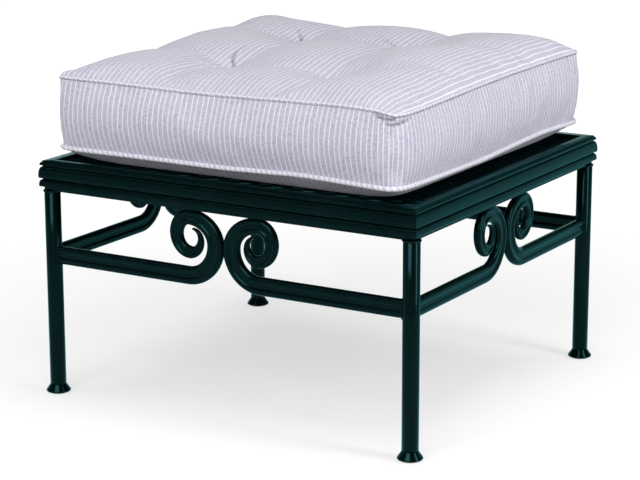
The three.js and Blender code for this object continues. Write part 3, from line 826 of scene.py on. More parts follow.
def bent(u, v):
    """Shares of the plan moved so that the valleys between the pillows run through the tufts and wander."""
    left, right, front, back = (
        2 * np.mean([TUFTS[a][axis], TUFTS[b][axis]]) * MM / size
        for a, b, axis, size in (
            ("front_left", "back_left", 0, CUSHION_X), ("front_right", "back_right", 0, CUSHION_X),
            ("front_left", "front_right", 1, CUSHION_Y), ("back_left", "back_right", 1, CUSHION_Y),
        )
    )
    even = (-1, -TUFT_SHARE, TUFT_SHARE, 1)
    new_u = np.interp(u, (-1, left, right, 1), even)
    new_v = np.interp(v, (-1, front, back, 1), even) - 0.12 * np.maximum(left - u, 0)
    bend_u = 1 + 0.10 * np.cos(1.5 * math.pi * np.clip(new_v, -1, 1))
    bend_v = 1 - 0.12 * np.cos(1.5 * math.pi * np.clip(new_u, -1, 1))
    return new_u * bend_u, new_v * bend_v


def crown(u, v):
    """Crown of the top above its seam: three pillows each way, valleys between, tufts where they cross.
    The front row is flatter, and the valleys fade out towards the right edge."""
    edge = ((1 - np.abs(u) ** EDGE_POWER) * (1 - np.abs(v) ** EDGE_POWER)) ** 0.65
    ear = EAR
    for share, size in ((u, CUSHION_X), (v, CUSHION_Y)):
        ear = ear * np.exp(-((1 + share) * size / 2 / EAR_REACH) ** 2)
        ear = ear * np.clip((1 - np.abs(share)) * size / EAR_EDGE, 0, 1)
    u, v = bent(u, v)
    front, right = eased(-v, 0.25, 0.62) * (1 - eased(-u, 0.35, 0.6)), eased(u, 0.3, 0.65)
    puffs = []
    for share, soft in ((u, 0.05 + 0.25 * front), (v, 0.05 + right)):
        wave = np.cos(math.pi * np.minimum(np.abs(share), 2 * TUFT_SHARE) / (2 * TUFT_SHARE))
        puffs.append(((wave ** 2 + soft ** 2) / (1 + soft ** 2)) ** 0.3)
    off = ((np.abs(u) - TUFT_SHARE) ** 2 + (np.abs(v) - TUFT_SHARE) ** 2) / DIMPLE_REACH ** 2
    height = CROWN_TUFT + CROWN_RIDGE * (puffs[0] + puffs[1]) + CROWN_PILLOW * puffs[0] * puffs[1]
    height -= DIMPLE * np.exp(-off)
    return height * edge * (1 - FRONT_FLATTER * front) + ear


# Heights of the seams above their level, by place around the cushion: 0 at the front left corner, 1 at
# the front right, 2 at the back right and 3 at the back left
TOP_LIFTS = (
    (0, 0.5), (0.45, -3), (0.84, 2), (0.93, 1), (0.97, -1.5), (1, -4), (1.06, -5), (1.25, -2),
    (1.6, 3), (2, 6.5), (2.08, 8), (2.2, 3.5), (2.35, 3), (2.5, 3.5), (2.6, 1.5), (2.7, 2.5), (2.82, -3),
    (2.9, 6.5), (2.96, 12), (3, 13), (3.12, 6.5), (3.3, 7), (3.5, 6), (3.65, 0.5), (3.85, -3), (3.97, -3),
    (4, 0.5),
)
LOW_LIFTS = ((0, 2), (0.5, -0.5), (0.72, 4), (1, 0.5), (1.45, -3), (1.8, 5), (2, 3), (2.5, 2), (3, 4),
             (3.5, 0), (4, 2))
LIFT_SMOOTHING = 9


def rim_shares(cells_x, cells_y):
    """Grid places around the edge, from the front left corner, anticlockwise from above."""
    rim = [(i, 0) for i in range(cells_x)] + [(cells_x, j) for j in range(cells_y)]
    rim += [(i, cells_y) for i in range(cells_x, 0, -1)] + [(0, j) for j in range(cells_y, 0, -1)]
    return np.array(rim)


def around(cells_x, cells_y):
    """Places of the rim's points, from 0 to 4 over the sides."""
    across, deep = (lines(cells_x)[:-1] + 1) / 2, (lines(cells_y)[:-1] + 1) / 2
    return np.concatenate([across, 1 + deep, 2 + across, 3 + deep])


def lifts(table, sides):
    """Seam heights around the edge from a short table, smoothed."""
    rough = np.interp(sides, [s for s, _ in table], [lift * MM for _, lift in table])
    kernel = np.hanning(LIFT_SMOOTHING + 2)[1:-1] ** 0.5
    kernel /= kernel.sum()
    half = LIFT_SMOOTHING // 2
    wrapped = np.concatenate([rough[-half:], rough, rough[:half]])
    return np.convolve(wrapped, kernel, mode="valid")


def spread(loop, cells_x, cells_y):
    """Carries heights given around the edge smoothly over the whole grid."""
    u = (lines(cells_x)[:, None] + 1) / 2
    v = (lines(cells_y)[None, :] + 1) / 2
    front = loop[:cells_x + 1]
    right = loop[cells_x:cells_x + cells_y + 1]
    back = loop[cells_x + cells_y:2 * cells_x + cells_y + 1][::-1]
    left = np.append(loop[2 * cells_x + cells_y:], loop[0])[::-1]
    sides = (1 - v) * front[:, None] + v * back[:, None] + (1 - u) * left[None, :] + u * right[None, :]
    corners = (1 - u) * (1 - v) * front[0] + u * (1 - v) * front[-1]
    corners = corners + u * v * back[-1] + (1 - u) * v * back[0]
    return sides - corners


def row_shares(cells):
    """Heights of the band's rows as shares of its height, two of them at the lips of the zip's slit."""
    band = TOP_SEAM - BOTTOM_SEAM
    low, high = ((ZIP_MID + side * LIP_HALF - BOTTOM_SEAM) / band for side in (-1, 1))
    part = (cells - 2) // 2
    return np.concatenate([
        np.linspace(0, low, part + 1), [(low + high) / 2], np.linspace(high, 1, part + 1),
    ])


def quads(grid, order):
    """The corners of each cell of a grid of indices or places, in the given order."""
    corners = (grid[:-1, :-1], grid[1:, :-1], grid[1:, 1:], grid[:-1, 1:])
    return np.concatenate(np.stack([corners[i] for i in order], axis=2))


def cover_grid(cells_x, cells_y, cells_z, inset=0.0):
    """Closed grid of the cushion: its points, faces, cloth coordinates and the indices of its seams."""
    u, v = np.meshgrid(lines(cells_x), lines(cells_y), indexing="ij")
    rim = tuple(rim_shares(cells_x, cells_y).T)
    rim_u, rim_v = u[rim], v[rim]
    sides = around(cells_x, cells_y)
    high, low = (spread(lifts(table, sides), cells_x, cells_y) for table in (TOP_LIFTS, LOW_LIFTS))
    shrink = 1 - 2 * inset / CUSHION_X
    pulled = NEAR_CORNER_IN * ((1 + u) * (1 - v) / 4) ** NEAR_CORNER_POWER

    x, y = plan(u, v)
    top_z = TOP_SEAM + high - inset + crown(u, v)
    top = np.stack([(x - pulled) * shrink, y * shrink, top_z], axis=-1)

    edges = [(1 - np.abs(share)) * size / 2 + 1e-9 for share, size in ((u, CUSHION_X), (v, CUSHION_Y))]
    edge = sum(part ** UNDER_POWER for part in edges) ** (1 / UNDER_POWER)
    turn = np.clip(edge / UNDER_CURVE, 0, 1)
    rise = BOTTOM_SEAM + low - UNDER
    under_z = UNDER + UNDER_INSET * inset + rise * (1 - turn) ** UNDER_SLOPE
    x, y = plan(u, v, LOW_CORNER_CUT, LOW_CORNER_POWER)
    under = np.stack([(x - pulled) * shrink, y * shrink, under_z], axis=-1)

    away = np.stack([np.sign(share) * np.abs(share) ** AWAY_POWER for share in (rim_u, rim_v)], axis=-1)
    away /= np.linalg.norm(away, axis=1, keepdims=True)
    along = np.where(np.abs(away[:, 0]) > np.abs(away[:, 1]), rim_v, rim_u)
    at_back = away[:, 1] > FACING
    middle = np.where(away[:, 1] < -FACING, FRONT_BULGE, np.where(at_back, BACK_BULGE, SIDE_BULGE))
    corner = CORNER_BULGE - NEAR_CORNER_FLATTER * ((1 + rim_u) * (1 - rim_v) / 4) ** 3
    bulge = corner + (middle - corner) * (1 - along ** 4)
    level = np.where(at_back, np.clip((LEVEL_END - np.abs(rim_u)) / LEVEL_FADE, 0, 1), 0)
    shares = row_shares(cells_z)
    lips = shares[[0, cells_z // 2 - 1, cells_z // 2 + 1, cells_z]]
    walls = []
    bottom_rim, top_rim = under[rim], top[rim]
    for share in shares[1:-1]:
        base = bottom_rim + (top_rim - bottom_rim) * share
        base[:, :2] += away * (bulge * (1 - (2 * share - 1) ** 2))[:, None]
        slit = np.array([
            np.interp(share, lips, [b, ZIP_MID - LIP_HALF, ZIP_MID + LIP_HALF, h])
            for b, h in zip(bottom_rim[:, 2], top_rim[:, 2])
        ])
        base[:, 2] += (slit - base[:, 2]) * level
        walls.append(base)

    size, count = u.size, len(sides)
    top_index = np.arange(size).reshape(u.shape)
    under_index = top_index + size
    between = [2 * size + k * count + np.arange(count) for k in range(cells_z - 1)]
    rows = np.array([under_index[rim], *between, top_index[rim]])
    lengths = np.array([CUSHION_X, CUSHION_Y, CUSHION_X, CUSHION_Y, 0])
    starts = np.cumsum(np.append(0, lengths[:-1])) - CUSHION_X / 2
    side = np.append(sides, 4)
    reach = starts[side.astype(int)] + side % 1 * lengths[side.astype(int)]
    rest = np.stack([u * CUSHION_X / 2, v * CUSHION_Y / 2], axis=-1)
    unrolled = np.stack(np.meshgrid(reach, shares * (TOP_SEAM - BOTTOM_SEAM)), axis=-1)
    surfaces = (
        (top_index, rest, (0, 1, 2, 3)), (under_index, rest, (3, 2, 1, 0)),
        (np.hstack([rows, rows[:, :1]]), unrolled, (0, 3, 2, 1)),
    )
    faces = np.concatenate([quads(indices, order) for indices, _, order in surfaces])
    cloth = np.concatenate([quads(places, order) for _, places, order in surfaces])
    points = np.concatenate([top.reshape(-1, 3), under.reshape(-1, 3), *walls])
    return points, faces, cloth, top_index, under_index, rows


def coordinates(mesh):
    flat = np.empty(len(mesh.vertices) * 3)
    mesh.vertices.foreach_get("co", flat)
    return flat.reshape(-1, 3)


def put_back(mesh, points):
    mesh.vertices.foreach_set("co", np.ascontiguousarray(points).ravel())
    mesh.update()


# Cushion: filling the cover

PRESSURE = 4.0
FRAMES = 20
MOST_MOVED = 14 * MM
SPARE_CLOTH = -0.02
SETTLING = 5
TUFT_REACH = 6 * MM
CLOTH = {
    "quality": 6, "mass": 0.25, "tension_stiffness": 25, "compression_stiffness": 25,
    "shear_stiffness": 12, "bending_stiffness": 0.35, "air_damping": 9, "tension_damping": 15,
    "compression_damping": 15, "vertex_group_mass": "held", "shrink_min": SPARE_CLOTH,
    "use_pressure": True, "uniform_pressure_force": PRESSURE,
}


def fill_cover(cover, under_index, rows):
    """Blows the sewn cover up by cloth simulation, its seams, tufts and underside held."""
    start = coordinates(cover.data)
    held = np.zeros(len(start))
    for part in (rows[0], rows[-1], under_index):
        held[part] = 1
    for tuft in TUFTS.values():
        near = np.linalg.norm(start[:, :2] - np.array(tuft) * MM, axis=1) < TUFT_REACH
        held[near] = 1
    group = cover.vertex_groups.new(name="held")
    for index in np.flatnonzero(held):
        group.add([int(index)], 1.0, "REPLACE")
    modifier = cover.modifiers.new("filling", "CLOTH")
    settings = modifier.settings
    for key, value in CLOTH.items():
        setattr(settings, key, value)
    settings.effector_weights.gravity = 0
    modifier.point_cache.frame_start = 1
    modifier.point_cache.frame_end = FRAMES
    scene = bpy.context.scene
    for step in range(1, FRAMES + 1):
        scene.frame_set(step)
    moved = coordinates(evaluated(cover).data) - start
    cover.modifiers.clear()
    scene.frame_set(1)
    cover.vertex_groups.clear()
    pairs = np.array([edge.vertices[:] for edge in cover.data.edges])
    meeting = np.bincount(pairs.ravel(), minlength=len(start))[:, None]
    for _ in range(SETTLING):
        around = np.zeros_like(moved)
        np.add.at(around, pairs[:, 0], moved[pairs[:, 1]])
        np.add.at(around, pairs[:, 1], moved[pairs[:, 0]])
        moved = np.where(held[:, None] > 0, moved, (moved + around / meeting) / 2)
    length = np.linalg.norm(moved, axis=1, keepdims=True)
    moved *= MOST_MOVED / np.maximum(length, MOST_MOVED)
    put_back(cover.data, start + moved)


# Folds that leave the tufts: depth and then points in the plan, in millimetres
PLEATS = (
    (4.2, (-97, -92), (-112, -72), (-118, -50), (-110, -30)),
    (4.0, (-97, -107), (-112, -122), (-135, -138), (-160, -146)),
    (3.0, (-88, -104), (-60, -100), (-35, -104)),
    (4.5, (79, -110), (66, -130), (52, -150)),
    (3.5, (76, -107), (50, -111), (25, -114), (0, -112)),
    (2.5, (84, -104), (105, -93), (125, -80)),
    (4.5, (-104, 111), (-124, 135), (-138, 152)),
    (3.5, (-104, 108), (-125, 113), (-155, 120)),
    (2.5, (-94, 104), (-84, 85), (-80, 65)),
    (4.0, (72, 110), (52, 122), (28, 132), (5, 134)),
    (2.5, (78, 112), (88, 132), (94, 152)),
    (2.5, (80, 104), (100, 92), (118, 84)),
)
PLEAT_WIDTH = 2.2 * MM
CREASE_WIDTH = 1.5 * MM
PUCKER_DEPTH = 0.9 * MM
PUCKER_FADE = 11 * MM
# Folds under the top seam at the near corner: depth, then points as the distance past the corner
# towards the back and the distance below the seam, in millimetres
PINCHES = (
    (4.0, (-32, 0), (-19, 5), (-2, 5.5), (5, 4)),
    (3.6, (-17, 11), (-3, 13), (10, 11.5), (40, 6)),
)
PINCH_WIDTH = 2.0 * MM
PINCH_REACH = 60 * MM
# Shade under the bottom seam, on the cloth that turns in to the deck
UNDER_SHADE = 0.5
UNDER_SHADE_START = 1.5 * MM
UNDER_SHADE_FADE = 4 * MM
JOIN_DEPTH = 1.6 * MM
JOIN_HALF = 1.3 * MM


def from_line(places, line):
    """Distances of places to a line through points, and how far along it the nearest point lies, 0 to 1."""
    gap = np.full(len(places), np.inf)
    run = np.zeros(len(places))
    count = len(line) - 1
    for i in range(count):
        start, step = np.array(line[i]), np.array(line[i + 1]) - np.array(line[i])
        share = np.clip((places - start) @ step / (step @ step), 0, 1)
        away = np.linalg.norm(places - start - share[:, None] * step, axis=1)
        nearer = away < gap
        gap = np.where(nearer, away, gap)
        run = np.where(nearer, (i + share) / count, run)
    return gap, run


def sewn_detail(points, normals, seams):
    """Pleats at the tufts and puckers along the seams, as moves along the surface's normals. Also returns
    how much painted shade each point gets, 0 to 1: in the creases of the pleats and pinches, and under the
    bottom seam."""
    depth = np.zeros(len(points))
    painted_shade = np.zeros(len(points))
    above = points[:, 2] > TOP_SEAM - 8 * MM
    inside = np.max(np.abs(points[:, :2]), axis=1) < CUSHION_Y / 2 - 15 * MM

    def sink(folds, places, width, deepest, fading):
        """Sinks the cloth along each line and paints shade into the crease there."""
        for deep, *line in folds:
            gap, run = from_line(places / MM, line)
            fade = fading(run)
            depth[:] += deep * MM * np.exp(-(gap * MM / width) ** 2) * fade
            shade = deep / deepest * np.exp(-(gap * MM / CREASE_WIDTH) ** 2) * fade
            painted_shade[:] = np.maximum(painted_shade, shade)

    sink(PLEATS, points[:, :2], PLEAT_WIDTH, 5, lambda run: above * inside * np.minimum(1.0, 1.6 * (1 - run)))
    pinch = seams[-1][len(seams[-1]) // 4]
    off = points - pinch
    past = off[:, 0] + off[:, 1]
    close = (np.abs(off[:, 0] - off[:, 1]) < PINCH_REACH) & (points[:, 2] < pinch[2] + 4 * MM)
    beside_corner = np.stack([past, -off[:, 2]], axis=-1)
    sink(PINCHES, beside_corner, PINCH_WIDTH, 4,
         lambda run: close * np.clip(5 * np.minimum(run + 0.1, 1 - run), 0, 1))
    under_top = np.clip(-off[:, 2] / (20 * MM), 0, 1) * (points[:, 2] > BOTTOM_SEAM)
    for along in (-5 * MM, 6 * MM):
        join = (off[:, 0] + off[:, 1] - along) / JOIN_HALF
        beside = np.exp(-((off[:, 0] - off[:, 1]) / (40 * MM)) ** 2)
        depth += JOIN_DEPTH * np.exp(-join ** 2) * beside * under_top
    # Painted shade on the cloth that turns in under the bottom seam
    height = points[:, 2]
    shade = (height > UNDER + 1 * MM) * (BOTTOM_SEAM - UNDER_SHADE_START - height) / UNDER_SHADE_FADE
    painted_shade = np.maximum(painted_shade, UNDER_SHADE * np.clip(shade, 0, 1))
    draw = np.random.default_rng(7)
    angle = np.arctan2(points[:, 1], points[:, 0])
    for seam in seams:
        near = np.zeros(len(points))
        reach = np.full(len(points), 1.0)
        for part in np.array_split(seam, 36):
            gap = np.linalg.norm(points[:, None, :] - part[None, :, :], axis=2).min(axis=1)
            reach = np.minimum(reach, gap)
        for count in (97, 131, 173, 211):
            near += np.sin(angle * count + draw.uniform(0, 2 * math.pi))
        depth += PUCKER_DEPTH * near / 4 * np.exp(-reach / PUCKER_FADE)
    return points - normals * depth[:, None], painted_shade


def zip_groove(points):
    """Turns the cloth in at the zip's slit and keeps the back clear of the slider."""
    x, y, z = points.T
    back = y > 0.9 * BACK_FACE
    reach = np.clip((ZIP_HALF + 2 * MM - np.abs(x)) / (3 * MM), 0, 1)
    inside = back & (np.abs(z - ZIP_MID) < LIP_HALF * 0.75)
    near = back & (np.abs(z - ZIP_MID) < 30 * MM)
    y = np.where(near, np.minimum(y, BACK_FACE), y)
    floor = TAPE_LOW.y - 0.6 * MM
    y = np.where(inside, y + (floor - y) * reach, y)
    return np.stack([x, y, z], axis=-1)


def make_cover(ticking_cloth):
    points, faces, cloth, top_index, under_index, rows = cover_grid(CELLS_X, CELLS_Y, CELLS_Z)
    cover = object_from("cushion_cover", points, faces, 60, cloth)
    fill_cover(cover, under_index, rows)
    finer = cover.modifiers.new("finer", "SUBSURF")
    finer.levels = finer.render_levels = 1
    mesh = bpy.data.meshes.new_from_object(evaluated(cover))
    cover.modifiers.clear()
    cover.data = mesh
    mesh.name = "cushion_cover"
    points = coordinates(mesh)
    normals = np.array([v.normal for v in mesh.vertices])
    seams = [points[rows[0]], points[rows[-1]]]
    tops = points[top_index.ravel()]
    tufts = {}
    for corner, place in TUFTS.items():
        away = np.linalg.norm(tops[:, :2] - np.array(place) * MM, axis=1)
        tufts[corner] = tops[np.argmin(away)]
    points, painted_shade = sewn_detail(points, normals, seams)
    put_back(mesh, zip_groove(points))
    # Painted shade of the creases and the underside, kept on the points for the cloth's material
    mesh.attributes.new("painted_shade", "FLOAT", "POINT").data.foreach_set("value", painted_shade)
    with edited(mesh) as built:
        flat = [f for f in built.faces if all(v.co.z < UNDER + 0.2 * MM for v in f.verts)]
        bmesh.ops.dissolve_faces(built, faces=flat)
    mesh.shade_smooth()
    finished(
        cover, ticking_cloth, "cushion", "cushion_cover",
        "cushion_top_panel", "cushion_boxing", "cushion_bottom_panel",
    )
    return cover, seams, tufts


# Cushion: welts, stitches, core and ties

WELT_SIDES = 14
WELT_SLANT = 0.4


def outward(seam):
    """Directions out from a seam loop, level."""
    run = np.roll(seam, -1, axis=0) - np.roll(seam, 1, axis=0)
    away = np.stack([run[:, 1], -run[:, 0], np.zeros(len(seam))], axis=-1)
    return away / np.linalg.norm(away, axis=1, keepdims=True)


def make_welt(name, seam, radius, out, up, piping_cloth):
    """A piped cord along a seam, its stripes running slantwise across it."""
    path = seam + outward(seam) * out + np.array([0, 0, up])
    steps = np.linalg.norm(np.roll(path, -1, axis=0) - path, axis=1)
    reach = np.concatenate([[0], np.cumsum(steps)])
    rings = [
        [p - a * radius * math.cos(t) - np.array([0, 0, radius * math.sin(t)]) for t in full_turn(WELT_SIDES)]
        for p, a in zip(path, outward(path))
    ]
    girth = np.arange(WELT_SIDES + 1) * 2 * math.pi * radius / WELT_SIDES
    cloth = [
        (reach[a] + WELT_SLANT * girth[b], girth[b] - WELT_SLANT * reach[a])
        for i in range(len(path)) for j in range(WELT_SIDES)
        for a, b in ((i, j), (i, j + 1), (i + 1, j + 1), (i + 1, j))
    ]
    welt = object_from(f"{name}_piping", *swept(rings, loop=True), 60, cloth)
    finished(welt, piping_cloth, "cushion", "cushion_cover", name)


STITCH_LENGTH = 2.5 * MM
STITCH_PITCH = 3.7 * MM
STITCH_RADIUS = 0.6 * MM
STITCH_LIFT = 0.1 * MM
STITCH_OUT, STITCH_DROP = 3 * MM, 2.5 * MM
ZIP_STITCH = 8.5 * MM


def make_stitch_motif():
    rounds = [(math.cos(t), 0.5 * math.sin(t)) for t in (-0.9, -0.35, 0.35, 0.9)]
    profile = [(r * STITCH_RADIUS, z * STITCH_LENGTH) for r, z in [(0, -0.5), *rounds, (0, 0.5)]]
    return object_from("stitch_motif", *turned(profile, 6), 80)


def stitch_tree():
    n, given = new_tree("stitch_row", (("Stitch", "Object"), ("Thread", "Material"), ("Pitch", "Float")))
    curve = n.add("GeometryNodeMeshToCurve", {"Mesh": given["Geometry"]}).outputs[0]
    marks = n.add("GeometryNodeCurveToPoints", {"Curve": curve, "Length": given["Pitch"]}, mode="LENGTH")
    turns = marks.outputs["Rotation"]
    copies_on(n, marks.outputs["Points"], given["Stitch"], given["Thread"], Rotation=turns)
    return n.tree


def make_stitches(cover, seams, thread):
    """Rows of stitches in the band under the top welt and along the zip, laid on the cover. The row under the
    top welt, in near-black thread, stands in for the shade in the groove under the welt.
    """
    points, edges = [], []

    def row(places, closed):
        start = len(points)
        for place in places:
            _, where, normal, _ = cover.closest_point_on_mesh(Vector(place))
            points.append(where + normal * STITCH_LIFT)
        last = len(points) - 1
        edges.extend((i, i + 1) for i in range(start, last))
        if closed:
            edges.append((last, start))

    row(seams[1] + outward(seams[1]) * STITCH_OUT - np.array([0, 0, STITCH_DROP]), True)
    for height in (-ZIP_STITCH, ZIP_STITCH):
        row([(x, BACK_FACE, ZIP_MID + height) for x in np.linspace(-ZIP_HALF, ZIP_HALF, 90)], False)
    mesh = bpy.data.meshes.new("stitch_paths")
    mesh.from_pydata(points, edges, [])
    motif = make_stitch_motif()
    stitches = grown("cushion_stitches", linked("stitch_paths", mesh), stitch_tree(), {
        "Stitch": motif, "Thread": thread, "Pitch": STITCH_PITCH,
    })
    bpy.data.objects.remove(motif)
    finished(stitches, thread, "cushion", "tuft_twine")


CORE_INSET = 9 * MM


def make_core(foam):
    points, faces, cloth, *_ = cover_grid(36, 36, 8, CORE_INSET)
    core = object_from("cushion_core_wrapped", points, faces, 60, cloth)
    finished(core, foam, "cushion", "cushion_foam", "cushion_core")


def tube(path, radius, sides=8):
    """A round tube along an open path, closed at both ends."""
    rings = []
    side = None
    for i, place in enumerate(path):
        run = (path[min(i + 1, len(path) - 1)] - path[max(i - 1, 0)]).normalized()
        side = run.orthogonal() if side is None else side - run * side.dot(run)
        side.normalize()
        other = run.cross(side)
        rings.append([place + (side * math.cos(a) + other * math.sin(a)) * radius for a in full_turn(sides)])
    return swept(rings)


TWINE_RADIUS = 0.7 * MM
TIE_STITCH = 4.5 * MM
TIE_BEND = 20 * MM


def make_tie(corner, tuft, twine):
    """Tufting twine: a short stitch in the tuft, then down through the core."""
    low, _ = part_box(f"tuft_tie_{corner}")
    x, y, z = tuft
    turn = 0.6 + 1.3 * len(corner)
    c, s = math.cos(turn), math.sin(turn)
    path = []
    for along, height in ((-0.9, -3), (-1, -0.6), (-0.7, 0.5), (0, 0.8), (0.7, 0.5), (1, -0.6), (0.9, -3)):
        path.append(Vector((x + c * along * TIE_STITCH, y + s * along * TIE_STITCH, z + height * MM)))
    path += [Vector((x, y, z - TIE_BEND)), Vector((x, y, low.z))]
    tie = object_from(f"tuft_tie_{corner}_twine", *tube(path, TWINE_RADIUS), 70)
    finished(tie, twine, "cushion", "tuft_twine", f"tuft_tie_{corner}")


# Cushion: zip

COIL_PITCH = 1.6 * MM
COIL_WIDTH = 1.25 * MM
COIL_DEPTH = 0.65 * MM
COIL_WIRE = 0.27 * MM
COIL_MARGIN = 6 * MM
TAPE_GAP = 0.15 * MM
TAPE_EDGE = 0.3 * MM


def bar_between(low, high, edge):
    """A flat bar with rounded edges, from its lowest and highest corners."""
    built = bmesh.new()
    bmesh.ops.create_cube(built, size=1)
    size = Vector(high) - Vector(low)
    for vert in built.verts:
        vert.co = Vector(low) + Vector([(vert.co[i] + 0.5) * size[i] for i in range(3)])
    bmesh.ops.bevel(built, geom=built.edges[:], offset=edge, segments=3, profile=0.5, affect="EDGES")
    points = [vert.co.copy() for vert in built.verts]
    faces = [[vert.index for vert in face.verts] for face in built.faces]
    built.free()
    return points, faces


def make_zip_tape(yarn):
    """Two woven tapes that meet at a nylon coil."""
    parts = [
        bar_between((TAPE_LOW.x, TAPE_LOW.y, low), (TAPE_HIGH.x, TAPE_HIGH.y, high), TAPE_EDGE)
        for low, high in ((TAPE_LOW.z, ZIP_MID - TAPE_GAP), (ZIP_MID + TAPE_GAP, TAPE_HIGH.z))
    ]
    turns = int((TAPE_HIGH.x - TAPE_LOW.x - 2 * COIL_MARGIN) / COIL_PITCH)
    coil = []
    for i in range(turns * 8 + 1):
        angle = i * math.pi / 4
        coil.append(Vector((
            TAPE_LOW.x + COIL_MARGIN + COIL_PITCH * i / 8,
            TAPE_HIGH.y + COIL_DEPTH * (1 + math.sin(angle)) * 0.8,
            ZIP_MID + COIL_WIDTH * math.cos(angle),
        )))
    parts.append(tube(coil, COIL_WIRE, 5))
    tape = object_from("zip_tape_woven", *gathered(parts), 50)
    finished(tape, yarn, "cushion", "zip_tape", "zip_tape")


def plate(outline, y_low, y_high, edge):
    """A flat plate from an outline in X and Z, its front edges eased."""
    centre = np.mean(outline, axis=0)
    rings = []
    for y, ease in ((y_low, 0.0), (y_high - edge, 0.0), (y_high, edge)):
        ring = []
        for x, z in outline:
            off = np.array([x, z]) - centre
            off *= 1 - ease / max(np.linalg.norm(off), ease)
            ring.append((centre[0] + off[0], y, centre[1] + off[1]))
        rings.append(ring)
    return swept(rings)


BODY_DEPTH, BODY_EDGE = 2.1 * MM, 0.4 * MM
BRIDGE_RADIUS = 0.6 * MM
PULL_BACK, PULL_FRONT, PULL_EDGE = 1.35 * MM, 0.15 * MM, 0.25 * MM
PULL_HALF = 2.5 * MM
PULL_REACH = 10.5 * MM


def make_slider(metal):
    """The slider's body, bridge and pull, closed at the right-hand end of the zip."""
    mid_x = (SLIDER_LOW.x + SLIDER_HIGH.x) / 2
    half = (SLIDER_HIGH.x - SLIDER_LOW.x) / 2
    low_y, high_y = SLIDER_LOW.y, SLIDER_HIGH.y
    tall = SLIDER_HIGH.z - ZIP_MID
    body = [
        (mid_x + half * x, ZIP_MID + tall * z)
        for x, z in ((-1, -0.45), (-0.5, -0.72), (0.1, -0.95), (0.7, -1), (1, -0.7), (1, -0.2), (0.75, 0),
                     (1, 0.2), (1, 0.7), (0.7, 1), (0.1, 0.95), (-0.5, 0.72), (-1, 0.45), (-1.0, 0))
    ]
    bridge = [
        Vector((mid_x + half * x, low_y + y * MM, ZIP_MID))
        for x, y in ((-0.75, 1.5), (-0.7, 2.6), (-0.4, 3.3), (0.1, 3.4), (0.6, 3.1), (0.75, 1.5))
    ]
    pull = []
    for angle in full_turn(24):
        x = PULL_HALF * math.copysign(abs(math.cos(angle)) ** 0.6, math.cos(angle))
        neck = 1 - 0.35 * (0.5 + 0.5 * math.sin(angle)) ** 2
        pull.append((mid_x + x * neck, SLIDER_LOW.z + PULL_REACH * (1 + math.sin(angle))))
    parts = [
        plate(body, low_y, low_y + BODY_DEPTH, BODY_EDGE),
        tube(bridge, BRIDGE_RADIUS),
        plate(pull, high_y - PULL_BACK, high_y - PULL_FRONT, PULL_EDGE),
    ]
    slider = object_from("zip_slider_cast", *gathered(parts), 40)
    finished(slider, metal, "zip_slider", "zip_metal", "zip_slider")


# Frame: bars under the deck

BAR_EDGE = 0.8 * MM


def make_bars(coat):
    for name in [f"ledge_{side}" for side in SIDES] + ["brace_left", "brace_right"]:
        painted(f"{name}_bar", bar_between(*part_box(name), BAR_EDGE), 40, coat, name)


# Studio

FILL_LIGHT = 0.25
SUN_LEVEL = 0.14
FLOOR_GLOW = 0.645
FAR_GLOW = 0.88
# Share of the floor's glow kept under the ottoman: a painted shadow between the legs
PAINTED_SHADOW_GLOW = 0.83
# Strength of the backdrop overhead, where the studio is dark
OVERHEAD = 0.12
# Share of the studio that gloss reflects from in front of the ottoman, where the room is dark
DARK_FRONT = 0.5
FRONT_SLANT = 0.6
# How far inside and outside the legs the painted shadow on the floor ends
SHADE_INSIDE, SHADE_OUTSIDE = 0.09, 0.08
# How high a direction points where the backdrop starts to darken and where it is darkest
BACKDROP_RISE = (0.1, 0.42)
FLOOR_HALF = 30.0
# Each lamp's azimuth, elevation, distance, width, height and brightness
SOFTBOXES = (
    ("front_window", 8, 27, 2.8, 1.8, 1.2, 6.5),
    ("right_window", 88, 20, 2.4, 0.55, 1.9, 9.3),
    ("right_strip", 80, 48, 2.4, 0.08, 1.0, 10.0),
    ("front_strip", 34, 50, 2.6, 0.07, 1.0, 20.0),
    ("front_bar", -31, 42, 2.4, 2.0, 0.04, 22.0),
    ("back_bar", 149, 36, 2.6, 2.0, 0.04, 13.0),
)
# The middle of the ottoman, which the lamps face
AIM = Vector((0, 0, 0.28))


def seen_directly(n, place, start, end):
    """One for rays from the camera and through glass, less for gloss towards the front, else nothing. The
    front is where Y less FRONT_SLANT times X of the place falls from start to end."""
    path = n.add("ShaderNodeLightPath").outputs
    x, y, _ = n.split(place)
    forward = n.math("SUBTRACT", y, n.math("MULTIPLY", x, FRONT_SLANT))
    share = n.span(forward, start, end, 1.0, DARK_FRONT)
    direct = n.math("MAXIMUM", path["Is Camera Ray"], path["Is Transmission Ray"])
    return n.math("MAXIMUM", direct, n.math("MULTIPLY", path["Is Glossy Ray"], share))


def softbox(name, azimuth, elevation, distance, width, height, level):
    """An evenly bright rectangle of light that faces the ottoman."""
    data = bpy.data.lights.new(name, "AREA")
    data.shape = "RECTANGLE"
    data.size = width
    data.size_y = height
    data.energy = level * math.pi * width * height
    lamp = linked(name, data)
    a, e = math.radians(azimuth), math.radians(elevation)
    away = Vector((math.sin(a) * math.cos(e), -math.cos(a) * math.cos(e), math.sin(e)))
    lamp.location = AIM + away * distance
    lamp.rotation_euler = (-away).to_track_quat("-Z", "Y").to_euler()
    lamp.visible_camera = False


